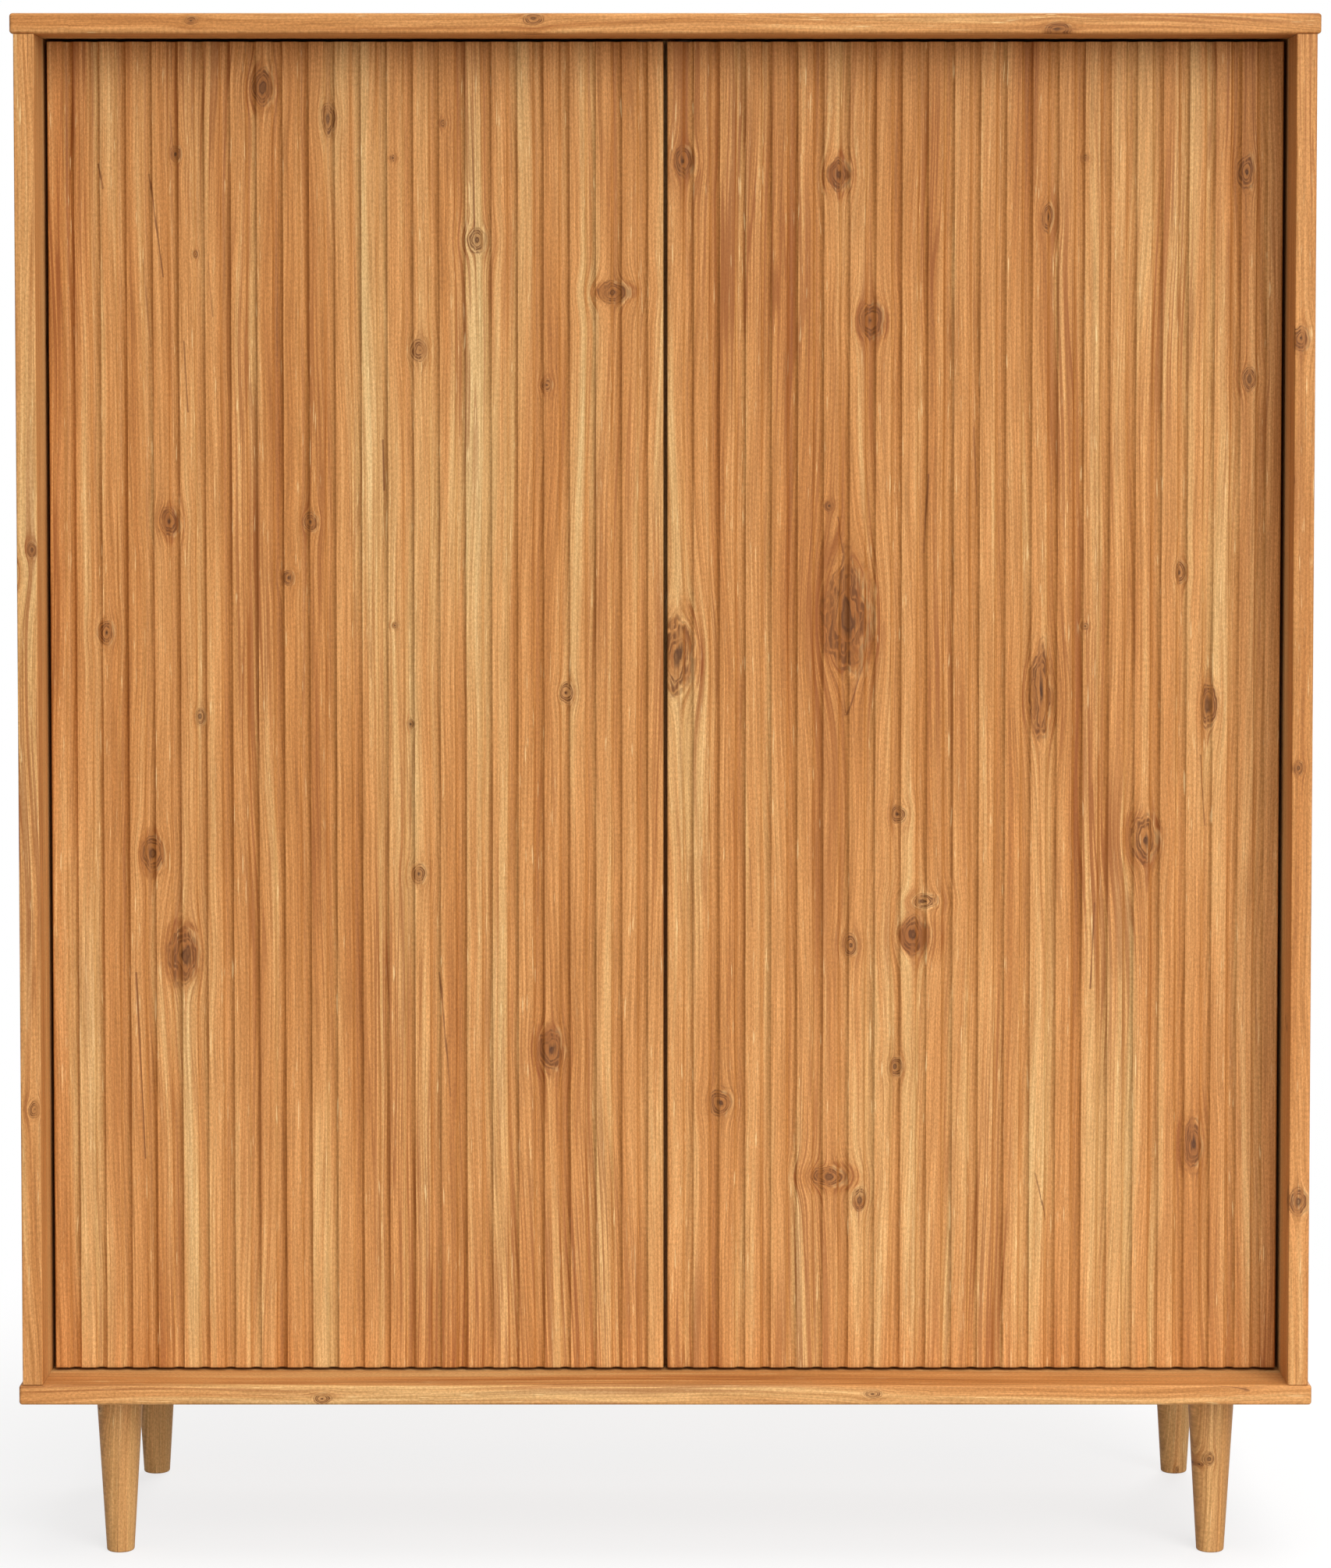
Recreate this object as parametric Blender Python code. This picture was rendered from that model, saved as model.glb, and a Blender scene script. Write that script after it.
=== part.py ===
"""Highboard: a tall two-door cupboard with ribbed doors, set back in a plain carcass on four tapered legs.

Metres, +Z up. The front looks along -Y and +X is to the right of someone facing it. The origin lies on the
floor under the middle of the carcass. Each door turns on three concealed hinges that share one upright pin
line, and a push latch under the top stands behind the free edge of each door. The door, the hinge pieces and
the side panels are all alike above and below their middle, so each right-hand one is the left-hand one
turned half round about Y.
"""

import math

import bmesh
import bpy
from mathutils import Matrix, Vector

# Overall sizes
WIDTH = 1.020
DEPTH = 0.400
HEIGHT = 1.227
LEG_HEIGHT = 0.134

# Boards
BOARD = 0.016
BACK_BOARD = 0.003
SIDE_INSET = 0.003
EDGE_ROUND = 0.0025
INNER_EDGE_ROUND = 0.001
BACK_GROOVE_DEPTH = 0.005
BACK_GROOVE_FROM_REAR = 0.010

# Clearances: between pieces that rest on or lie in each other, and what a cutter runs past a face
FIT = 0.0003
OVERRUN = 0.002

# Doors
DOOR_RECESS = 0.0512
DOOR_THICKNESS = 0.018
DOOR_SIDE_GAP = 0.003
DOOR_CENTRE_GAP = 0.003
DOOR_END_GAP = 0.0025
DOOR_EDGE_ROUND = 0.002
SCOOP_PITCH = 0.0206
SCOOP_WIDTH = 0.0084
SCOOP_DEPTH = 0.0028
LEAST_EDGE_LAND = 0.010

# Shelves and the pins that carry them
SHELVES = 2
SHELF_SIDE_GAP = 0.0015
SHELF_BACK_GAP = 0.001
SHELF_SETBACK = 0.0225
DIVIDER_SETBACK = 0.003
PIN_RADIUS = 0.0025
PIN_COLLAR_RADIUS = 0.0036
PIN_COLLAR = 0.0009
PIN_REACH = 0.009
PIN_HOLE_DEPTH = 0.007
PIN_FROM_SHELF_EDGE = 0.037
SPARE_HOLE_PITCH = 0.032

# Concealed hinges. Across is along X from the hinge pin to the middle of the cupboard, back is along Y.
HINGE_FROM_DOOR_END = 0.100
HINGE_PIN_FROM_DOOR_EDGE = 0.014
HINGE_PIN_BEHIND_DOOR_FRONT = 0.010
HINGE_PIN_RADIUS = 0.0014
CUP_RADIUS = 0.0175
CUP_DEPTH = 0.0125
CUP_WALL = 0.001
CUP_CENTRE_ACROSS = 0.0085
CUP_FLANGE = 0.001
CUP_FLANGE_RADIUS = 0.0195
CUP_EAR_WIDTH = 0.013
CUP_EAR_REACH = 0.030
SCREW_HEAD_RADIUS = 0.0035
SCREW_HEAD = 0.0009
ARM_THICKNESS = 0.002
ARM_HEIGHT = 0.012
ARM_EYE_RADIUS = 0.0028
ARM_ELBOW_ACROSS = 0.014
ARM_ELBOW_BACK = 0.0065
ARM_CROSSING_BACK = 0.0185
ARM_END_BACK = 0.075
ARM_FLANGE = 0.0035
PLATE_THICKNESS = 0.0054
PLATE_HEIGHT = 0.016
PLATE_START_BACK = 0.030
PLATE_LENGTH = 0.040
WING_THICKNESS = 0.0024
WING_WIDTH = 0.014
WING_REACH = 0.027

# Push latches
LATCH_FROM_MIDDLE = 0.01615
LATCH_WIDTH = 0.0107
LATCH_HEIGHT = 0.014
LATCH_LENGTH = 0.064
LATCH_SETBACK = 0.0025
LATCH_ROUND = 0.002
PLUNGER_RADIUS = 0.0033
PLUNGER_LENGTH = 0.042
PLUNGER_ROUND = 0.0008
LATCH_BORE_DEPTH = 0.050

# Legs
LEG_INSET = 0.071
LEG_TOP_RADIUS = 0.019
LEG_FOOT_RADIUS = 0.011
LEG_TOP_ROUND = 0.0005
LEG_FOOT_ROUND = 0.0015
BOLT_RADIUS = 0.004
BOLT_IN_LEG = 0.025
BOLT_IN_PANEL = 0.011

# Sides of the round shapes, and steps of the rounded ones
CUP_SIDES = 20
LEG_SIDES = 24
SMALL_SIDES = 12
PIN_SIDES = 10
SCOOP_STEPS = 6
ROUND_STEPS = 3

# Places that follow from the sizes
FRONT = -DEPTH / 2
REAR = DEPTH / 2
CARCASS_BOTTOM = LEG_HEIGHT
INSIDE_BOTTOM = CARCASS_BOTTOM + BOARD
INSIDE_TOP = HEIGHT - BOARD
INSIDE_HEIGHT = INSIDE_TOP - INSIDE_BOTTOM
MID_HEIGHT = (INSIDE_TOP + INSIDE_BOTTOM) / 2
SIDE_OUTER = WIDTH / 2 - SIDE_INSET
SIDE_INNER = SIDE_OUTER - BOARD
BAY_WIDTH = SIDE_INNER - BOARD / 2
BAY_MIDDLE = (SIDE_INNER + BOARD / 2) / 2
BACK_BOARD_REAR = REAR - BACK_GROOVE_FROM_REAR
BACK_BOARD_FRONT = BACK_BOARD_REAR - BACK_BOARD
DOOR_FRONT = FRONT + DOOR_RECESS
DOOR_REAR = DOOR_FRONT + DOOR_THICKNESS
DOOR_WIDTH = SIDE_INNER - DOOR_SIDE_GAP - DOOR_CENTRE_GAP / 2
DOOR_HEIGHT = INSIDE_HEIGHT - 2 * DOOR_END_GAP
DIVIDER_FRONT = DOOR_REAR + DIVIDER_SETBACK
SHELF_FRONT = DIVIDER_FRONT + SHELF_SETBACK
SHELF_REAR = BACK_BOARD_FRONT - SHELF_BACK_GAP
BAY_HEIGHT = (INSIDE_HEIGHT - SHELVES * BOARD) / (SHELVES + 1)
SHELF_MIDDLES = [
    INSIDE_BOTTOM + BAY_HEIGHT * (level + 1) + BOARD * level + BOARD / 2 for level in range(SHELVES)
]
PIN_LINES = [SHELF_FRONT + PIN_FROM_SHELF_EDGE, SHELF_REAR - PIN_FROM_SHELF_EDGE]
HINGE_LINE_ACROSS = SIDE_INNER - DOOR_SIDE_GAP - HINGE_PIN_FROM_DOOR_EDGE
HINGE_LINE_BACK = DOOR_FRONT + HINGE_PIN_BEHIND_DOOR_FRONT
HINGE_LEVELS = {
    "bottom": HINGE_FROM_DOOR_END - DOOR_HEIGHT / 2,
    "middle": 0,
    "top": DOOR_HEIGHT / 2 - HINGE_FROM_DOOR_END,
}
SIDES = {"left": -1, "right": 1}
HALF_TURN = {"left": 0, "right": math.pi}

# Colours, roughness and metallic value of each material
LOOKS = {
    "wood_decor": ((0.60, 0.36, 0.17, 1), 0.55, 0),
    "wood_leg": ((0.58, 0.34, 0.16, 1), 0.5, 0),
    "back_board": ((0.62, 0.40, 0.21, 1), 0.7, 0),
    "hinge_steel": ((0.62, 0.62, 0.60, 1), 0.3, 1),
    "latch_plastic": ((0.32, 0.27, 0.23, 1), 0.5, 0),
    "pin_steel": ((0.60, 0.60, 0.58, 1), 0.35, 1),
    "bolt_steel": ((0.55, 0.55, 0.53, 1), 0.4, 1),
}


def clear_scene():
    for obj in list(bpy.data.objects):
        bpy.data.objects.remove(obj, do_unlink=True)


def make_material(name):
    colour, roughness, metallic = LOOKS[name]
    material = bpy.data.materials.new(name)
    material.use_nodes = True
    surface = material.node_tree.nodes["Principled BSDF"]
    surface.inputs["Base Color"].default_value = colour
    surface.inputs["Roughness"].default_value = roughness
    surface.inputs["Metallic"].default_value = metallic
    material.diffuse_color = colour
    return material


def mesh_from(shape, name):
    """The bmesh shape as a mesh whose faces point outward."""
    bmesh.ops.recalc_face_normals(shape, faces=shape.faces)
    mesh = bpy.data.meshes.new(name)
    shape.to_mesh(mesh)
    shape.free()
    return mesh


def prism(outline, low, high):
    """The closed outline of (x, y) points, extruded from z = low to z = high."""
    shape = bmesh.new()
    bottom = [shape.verts.new((x, y, low)) for x, y in outline]
    face = shape.faces.new(bottom)
    made = bmesh.ops.extrude_face_region(shape, geom=[face])
    top = [item for item in made["geom"] if isinstance(item, bmesh.types.BMVert)]
    bmesh.ops.translate(shape, verts=top, vec=(0, 0, high - low))
    return shape


def block(x_range, y_range, z_range):
    """A square-edged block between the ends of three ranges."""
    corners = [
        (x_range[0], y_range[0]),
        (x_range[1], y_range[0]),
        (x_range[1], y_range[1]),
        (x_range[0], y_range[1]),
    ]
    return prism(corners, *z_range)


def turned(profile, sides):
    """A turned solid about Z from (radius, z) points, bottom to top. A flat disc closes each end."""
    shape = bmesh.new()
    rings = []
    for radius, height in profile:
        angles = [2 * math.pi * step / sides for step in range(sides)]
        rings.append([shape.verts.new((radius * math.cos(a), radius * math.sin(a), height)) for a in angles])
    for lower, upper in zip(rings, rings[1:]):
        for step in range(sides):
            after = (step + 1) % sides
            shape.faces.new((lower[step], lower[after], upper[after], upper[step]))
    shape.faces.new(list(reversed(rings[0])))
    shape.faces.new(rings[-1])
    return shape


def rod(radius, low, high, sides, direction="Z", at=(0, 0, 0)):
    """A plain cylinder from low to high along an axis through the point at."""
    turn = {
        "X": Matrix.Rotation(math.pi / 2, 4, "Y"),
        "Y": Matrix.Rotation(-math.pi / 2, 4, "X"),
        "Z": Matrix.Identity(4),
    }[direction]
    shape = turned([(radius, low), (radius, high)], sides)
    shape.transform(Matrix.Translation(at) @ turn)
    return shape


def joined(shapes):
    """Several separate bodies in one bmesh, for a cutter."""
    whole = bmesh.new()
    for shape in shapes:
        piece = mesh_from(shape, "piece")
        whole.from_mesh(piece)
        bpy.data.meshes.remove(piece)
    return whole


def arc(centre, radius, start, end, steps):
    """Points on an arc about centre, from the angle start to the angle end."""
    turns = [start + (end - start) * step / steps for step in range(steps + 1)]
    return [(centre[0] + radius * math.cos(t), centre[1] + radius * math.sin(t)) for t in turns]


def rounded_edges(shape, radius, chosen):
    """Rounds each edge of the shape whose middle point passes the test chosen."""
    edges = [edge for edge in shape.edges if chosen((edge.verts[0].co + edge.verts[1].co) / 2)]
    bmesh.ops.bevel(
        shape, geom=edges, offset=radius, segments=ROUND_STEPS, profile=0.5, affect="EDGES"
    )
    return shape


def shaped(first, name, steps):
    """One mesh from a shape and a list of (operation, shape) steps, each a Boolean modifier."""
    body = bpy.data.objects.new(name, mesh_from(first, name))
    bpy.context.scene.collection.objects.link(body)
    helpers = []
    for number, (operation, shape) in enumerate(steps):
        helper = bpy.data.objects.new(f"{name}_helper_{number}", mesh_from(shape, f"{name}_helper"))
        helper.hide_render = True
        helper.display_type = "WIRE"
        bpy.context.scene.collection.objects.link(helper)
        helpers.append(helper)
        modifier = body.modifiers.new(operation.lower(), "BOOLEAN")
        modifier.operation = operation
        modifier.solver = "EXACT"
        modifier.object = helper
    bpy.context.view_layer.update()
    finished = body.evaluated_get(bpy.context.evaluated_depsgraph_get())
    mesh = bpy.data.meshes.new_from_object(finished)
    for used in [body, *helpers]:
        bpy.data.objects.remove(used, do_unlink=True)
    return mesh


def add_piece(name, mesh, material, location=(0, 0, 0), turn=(0, 0, 0), parent=None, smooth=False):
    """A named sub-part with its own material, placed by its location and rotation."""
    piece = bpy.data.objects.new(name, mesh)
    bpy.context.scene.collection.objects.link(piece)
    piece.location = location
    piece.rotation_euler = turn
    piece.parent = parent
    if not mesh.materials:
        mesh.materials.append(material)
    if smooth:
        mesh.shade_smooth()
        mesh.set_sharp_from_angle(angle=math.radians(35))
    return piece


def add_empty(name, location, turn=(0, 0, 0), parent=None):
    empty = bpy.data.objects.new(name, None)
    bpy.context.scene.collection.objects.link(empty)
    empty.empty_display_size = BOARD
    empty.location = location
    empty.rotation_euler = turn
    empty.parent = parent
    return empty


def back_groove(x_range, z_range):
    """Cutter for the groove that a back board's edge lies in."""
    return block(x_range, (BACK_BOARD_FRONT - FIT, BACK_BOARD_REAR + FIT), z_range)


def end_panel_mesh(name, holes):
    """The top or bottom panel, its inner face up at z = 0, with rounded front and side edges, the
    groove for both back boards and any bolt holes from the other face."""

    def rounded(middle):
        return middle.y < REAR - EDGE_ROUND

    panel = block((-WIDTH / 2, WIDTH / 2), (FRONT, REAR), (-BOARD, 0))
    rounded_edges(panel, EDGE_ROUND, rounded)
    groove_end = SIDE_INNER + BACK_GROOVE_DEPTH
    cuts = [back_groove((-groove_end, groove_end), (-BACK_GROOVE_DEPTH, OVERRUN)), *holes]
    return shaped(panel, name, [("DIFFERENCE", joined(cuts))])


def leg_places():
    across = WIDTH / 2 - LEG_INSET
    back = DEPTH / 2 - LEG_INSET
    return {
        "front_left": (-across, -back),
        "front_right": (across, -back),
        "back_left": (-across, back),
        "back_right": (across, back),
    }


def add_end_panels(material, parent):
    top = end_panel_mesh("top_panel", [])
    add_piece("top_panel", top, material, (0, 0, INSIDE_TOP), (0, math.pi, 0), parent)
    holes = [
        rod(BOLT_RADIUS + FIT, -BOARD - OVERRUN, -BOARD + BOLT_IN_PANEL + FIT, SMALL_SIDES, "Z", (x, y, 0))
        for x, y in leg_places().values()
    ]
    bottom = end_panel_mesh("bottom_panel", holes)
    add_piece("bottom_panel", bottom, material, (0, 0, INSIDE_BOTTOM), parent=parent)


def pin_holes(face, outward):
    """Cutters for the rows of pin holes in an upright face at x = face, drilled against outward."""
    holes = []
    for middle in SHELF_MIDDLES:
        axis = middle - BOARD / 2 - FIT - PIN_RADIUS - MID_HEIGHT
        for row in (-1, 0, 1):
            for back in PIN_LINES:
                at = (face, back, axis + row * SPARE_HOLE_PITCH)
                span = sorted((-outward * PIN_HOLE_DEPTH, outward * OVERRUN))
                holes.append(rod(PIN_RADIUS + FIT, *span, PIN_SIDES, "X", at))
    return holes


def upright_outline(left, right, front, grooves):
    """Section of an upright board, with rounded front corners and a groove in each face of grooves."""
    radius = INNER_EDGE_ROUND
    quarter = math.pi / 2
    outline = arc((left + radius, front + radius), radius, 2 * quarter, 3 * quarter, ROUND_STEPS)
    outline += arc((right - radius, front + radius), radius, 3 * quarter, 4 * quarter, ROUND_STEPS)
    groove_front = BACK_BOARD_FRONT - FIT
    groove_rear = BACK_BOARD_REAR + FIT
    if "right" in grooves:
        floor = right - BACK_GROOVE_DEPTH
        outline += [(right, groove_front), (floor, groove_front), (floor, groove_rear), (right, groove_rear)]
    outline += [(right, REAR), (left, REAR)]
    if "left" in grooves:
        floor = left + BACK_GROOVE_DEPTH
        outline += [(left, groove_rear), (floor, groove_rear), (floor, groove_front), (left, groove_front)]
    return outline


def add_uprights(material, parent):
    """The two side panels and the divider, with their grooves and pin holes."""
    half = INSIDE_HEIGHT / 2 - FIT
    for name, side in SIDES.items():
        outer, inner = side * SIDE_OUTER, side * SIDE_INNER
        faces = sorted((outer, inner))
        groove_face = "right" if side < 0 else "left"
        shape = prism(upright_outline(*faces, FRONT, [groove_face]), -half, half)
        mesh = shaped(shape, f"{name}_side_panel", [("DIFFERENCE", joined(pin_holes(inner, -side)))])
        add_piece(f"{name}_side_panel", mesh, material, (0, 0, MID_HEIGHT), parent=parent)
    shape = prism(upright_outline(-BOARD / 2, BOARD / 2, DIVIDER_FRONT, ["left", "right"]), -half, half)
    holes = pin_holes(-BOARD / 2, -1) + pin_holes(BOARD / 2, 1)
    mesh = shaped(shape, "centre_divider", [("DIFFERENCE", joined(holes))])
    add_piece("centre_divider", mesh, material, (0, 0, MID_HEIGHT), parent=parent)


def add_back_boards(material, parent):
    """A thin board behind each half, its edges in the grooves on all four sides."""
    reach = BACK_GROOVE_DEPTH - FIT
    half_width = BAY_WIDTH / 2 + reach
    half_height = INSIDE_HEIGHT / 2 + reach
    for name, side in SIDES.items():
        shape = block(
            (-half_width, half_width), (BACK_BOARD_FRONT, BACK_BOARD_REAR), (-half_height, half_height)
        )
        mesh = mesh_from(shape, f"{name}_back_board")
        add_piece(f"{name}_back_board", mesh, material, (side * BAY_MIDDLE, 0, MID_HEIGHT), parent=parent)


def add_shelves(material, parent):
    def front(middle):
        return middle.y < SHELF_FRONT + INNER_EDGE_ROUND and abs(middle.z) > BOARD / 4

    half_width = BAY_WIDTH / 2 - SHELF_SIDE_GAP
    for name, side in SIDES.items():
        for level, middle in enumerate(SHELF_MIDDLES, 1):
            shape = block((-half_width, half_width), (SHELF_FRONT, SHELF_REAR), (-BOARD / 2, BOARD / 2))
            rounded_edges(shape, INNER_EDGE_ROUND, front)
            mesh = mesh_from(shape, f"{name}_shelf_{level}")
            place = (side * BAY_MIDDLE, 0, middle)
            add_piece(f"{name}_shelf_{level}", mesh, material, place, parent=parent)


def add_shelf_pins(material, parent):
    """Turned pins, half in a panel's hole and half under a shelf, with a collar against the panel."""
    profile = [
        (PIN_RADIUS, FIT - PIN_HOLE_DEPTH),
        (PIN_RADIUS, FIT),
        (PIN_COLLAR_RADIUS, FIT),
        (PIN_COLLAR_RADIUS, FIT + PIN_COLLAR),
        (PIN_RADIUS, FIT + PIN_COLLAR),
        (PIN_RADIUS, PIN_REACH),
    ]
    mesh = mesh_from(turned(profile, PIN_SIDES), "shelf_pin")
    for name, side in SIDES.items():
        for level, middle in enumerate(SHELF_MIDDLES, 1):
            height = middle - BOARD / 2 - FIT - PIN_RADIUS
            for wall, face, toward in (
                ("outer", side * SIDE_INNER, -side),
                ("inner", side * BOARD / 2, side),
            ):
                for line, back in zip(("front", "back"), PIN_LINES):
                    place = (face, back, height)
                    turn = (0, toward * math.pi / 2, 0)
                    full_name = f"{name}_shelf_{level}_pin_{wall}_{line}"
                    add_piece(full_name, mesh, material, place, turn, parent, smooth=True)


def door_outline():
    """Section of the left door about its hinge pin line: scooped grooves in front, rounded front corners."""
    outer = -HINGE_PIN_FROM_DOOR_EDGE
    inner = outer + DOOR_WIDTH
    front = -HINGE_PIN_BEHIND_DOOR_FRONT
    rear = front + DOOR_THICKNESS
    radius = DOOR_EDGE_ROUND
    quarter = math.pi / 2
    scoops = int((DOOR_WIDTH - SCOOP_WIDTH - 2 * LEAST_EDGE_LAND) / SCOOP_PITCH) + 1
    edge_land = (DOOR_WIDTH - SCOOP_WIDTH - (scoops - 1) * SCOOP_PITCH) / 2
    outline = arc((outer + radius, front + radius), radius, 2 * quarter, 3 * quarter, ROUND_STEPS)
    for scoop in range(scoops):
        middle = outer + edge_land + SCOOP_WIDTH / 2 + scoop * SCOOP_PITCH
        for step in range(SCOOP_STEPS + 1):
            turn = math.pi * (1 - step / SCOOP_STEPS)
            outline.append(
                (middle + SCOOP_WIDTH / 2 * math.cos(turn), front + SCOOP_DEPTH * math.sin(turn))
            )
    outline += arc((inner - radius, front + radius), radius, 3 * quarter, 4 * quarter, ROUND_STEPS)
    return outline + [(inner, rear), (outer, rear)]


def door_mesh():
    """The left door about its hinge pin line and mid-height, with a recess for each hinge cup."""
    rear = DOOR_THICKNESS - HINGE_PIN_BEHIND_DOOR_FRONT
    recesses = [
        rod(
            CUP_RADIUS + FIT,
            rear - CUP_DEPTH - FIT,
            rear + OVERRUN,
            CUP_SIDES,
            "Y",
            (CUP_CENTRE_ACROSS, 0, level),
        )
        for level in HINGE_LEVELS.values()
    ]
    slab = prism(door_outline(), -DOOR_HEIGHT / 2, DOOR_HEIGHT / 2)
    return shaped(slab, "door", [("DIFFERENCE", joined(recesses))])


def cup_mesh():
    """Hinge cup about its pin: a shallow drawn cup with an eared flange and the pin across it."""
    mouth = DOOR_THICKNESS - HINGE_PIN_BEHIND_DOOR_FRONT + FIT
    outer_face = mouth + CUP_FLANGE
    floor = mouth - FIT - CUP_DEPTH
    centre = (CUP_CENTRE_ACROSS, 0, 0)
    ear_span = (CUP_CENTRE_ACROSS - CUP_EAR_WIDTH / 2, CUP_CENTRE_ACROSS + CUP_EAR_WIDTH / 2)
    disc = rod(CUP_FLANGE_RADIUS, mouth, outer_face, CUP_SIDES, "Y", centre)
    ears = block(ear_span, (mouth, outer_face), (-CUP_EAR_REACH, CUP_EAR_REACH))
    bowl = rod(CUP_RADIUS, floor, mouth + CUP_FLANGE / 2, CUP_SIDES, "Y", centre)
    hollow = rod(CUP_RADIUS - CUP_WALL, floor + CUP_WALL, outer_face + OVERRUN, CUP_SIDES, "Y", centre)
    half_chord = math.sqrt((CUP_RADIUS - CUP_WALL / 2) ** 2 - CUP_CENTRE_ACROSS**2)
    pin = rod(HINGE_PIN_RADIUS, -half_chord, half_chord, PIN_SIDES)
    screw_level = (CUP_EAR_REACH + CUP_FLANGE_RADIUS) / 2
    screws = joined(
        rod(
            SCREW_HEAD_RADIUS,
            mouth + CUP_FLANGE / 2,
            outer_face + SCREW_HEAD,
            SMALL_SIDES,
            "Y",
            (CUP_CENTRE_ACROSS, 0, end * screw_level),
        )
        for end in (-1, 1)
    )
    steps = [("UNION", ears), ("UNION", bowl), ("DIFFERENCE", hollow), ("UNION", pin), ("UNION", screws)]
    return shaped(disc, "hinge_cup", steps)


def strip_outline(path, half):
    """The outline of a strip of even thickness along a path of straight runs, mitred at its bends."""
    points = [Vector(point) for point in path]
    headings = [(after - before).normalized() for before, after in zip(points, points[1:])]
    left_side, right_side = [], []
    for number, point in enumerate(points):
        arriving = headings[max(number - 1, 0)]
        leaving = headings[min(number, len(headings) - 1)]
        middle = (arriving + leaving).normalized()
        across = Vector((-middle.y, middle.x)) * (half / middle.dot(arriving))
        left_side.append(point + across)
        right_side.append(point - across)
    return [tuple(point) for point in left_side + right_side[::-1]]


def arm_line():
    """Across, from the pin, to the middle of the arm where it lies over its mounting plate."""
    wall = -(HINGE_PIN_FROM_DOOR_EDGE + DOOR_SIDE_GAP)
    return wall + FIT + PLATE_THICKNESS + FIT + ARM_THICKNESS / 2


def arm_mesh():
    """Hinge arm about its pin: an eye in the cup, a crank round the door's edge, a channel to the rear."""
    line = arm_line()
    half = ARM_HEIGHT / 2
    path = [
        (0, 0),
        (ARM_ELBOW_ACROSS, ARM_ELBOW_BACK),
        (ARM_ELBOW_ACROSS, ARM_CROSSING_BACK),
        (line, ARM_CROSSING_BACK),
        (line, ARM_END_BACK),
    ]
    strip = prism(strip_outline(path, ARM_THICKNESS / 2), -half, half)
    eye = rod(ARM_EYE_RADIUS, -half + FIT, half - FIT, SMALL_SIDES)
    pin_hole = rod(HINGE_PIN_RADIUS + FIT, -half - OVERRUN, half + OVERRUN, PIN_SIDES)
    flange_start = ARM_CROSSING_BACK + ARM_FLANGE
    flange_face = line + ARM_FLANGE
    flange_ranges = ((half - ARM_THICKNESS / 2, half), (-half, ARM_THICKNESS / 2 - half))
    flanges = joined(
        block((line, flange_face), (flange_start, ARM_END_BACK - ARM_THICKNESS), level)
        for level in flange_ranges
    )
    screw_face = line + ARM_THICKNESS / 2 + SCREW_HEAD
    screw_places = (
        PLATE_START_BACK + SCREW_HEAD_RADIUS,
        PLATE_START_BACK + PLATE_LENGTH - 2 * SCREW_HEAD_RADIUS,
    )
    screws = joined(
        rod(SCREW_HEAD_RADIUS, line, screw_face, SMALL_SIDES, "X", (0, back, 0)) for back in screw_places
    )
    steps = [("UNION", eye), ("DIFFERENCE", pin_hole), ("UNION", flanges), ("UNION", screws)]
    return shaped(strip, "hinge_arm", steps)


def plate_mesh():
    """Mounting plate on the side panel, about the hinge pin: a raised block and two screwed wings."""
    wall = -(HINGE_PIN_FROM_DOOR_EDGE + DOOR_SIDE_GAP) + FIT
    middle = PLATE_START_BACK + PLATE_LENGTH / 2
    base = block(
        (wall, wall + PLATE_THICKNESS),
        (PLATE_START_BACK, PLATE_START_BACK + PLATE_LENGTH),
        (-PLATE_HEIGHT / 2, PLATE_HEIGHT / 2),
    )
    wings = block(
        (wall, wall + WING_THICKNESS),
        (middle - WING_WIDTH / 2, middle + WING_WIDTH / 2),
        (-WING_REACH, WING_REACH),
    )
    screw_level = (WING_REACH + PLATE_HEIGHT / 2) / 2
    screws = joined(
        rod(
            SCREW_HEAD_RADIUS,
            wall + WING_THICKNESS / 2,
            wall + WING_THICKNESS + SCREW_HEAD,
            SMALL_SIDES,
            "X",
            (0, middle, end * screw_level),
        )
        for end in (-1, 1)
    )
    return shaped(base, "hinge_plate", [("UNION", wings), ("UNION", screws)])


def add_doors_and_hinges(door_material, steel, parent):
    """Each door with its cups on its own pin line, and the arms and plates on the carcass."""
    door, cup, arm, plate = door_mesh(), cup_mesh(), arm_mesh(), plate_mesh()
    for name, side in SIDES.items():
        line = (side * HINGE_LINE_ACROSS, HINGE_LINE_BACK, MID_HEIGHT)
        turn = (0, HALF_TURN[name], 0)
        leaf = add_empty(f"{name}_door_axis", line, turn, parent)
        seat = add_empty(f"{name}_hinge_line", line, turn, parent)
        add_piece(f"{name}_door", door, door_material, parent=leaf)
        for place, level in HINGE_LEVELS.items():
            at = (0, 0, level if side < 0 else -level)
            add_piece(f"{name}_hinge_{place}_cup", cup, steel, at, parent=leaf, smooth=True)
            add_piece(f"{name}_hinge_{place}_arm", arm, steel, at, parent=seat)
            add_piece(f"{name}_hinge_{place}_plate", plate, steel, at, parent=seat)


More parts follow.
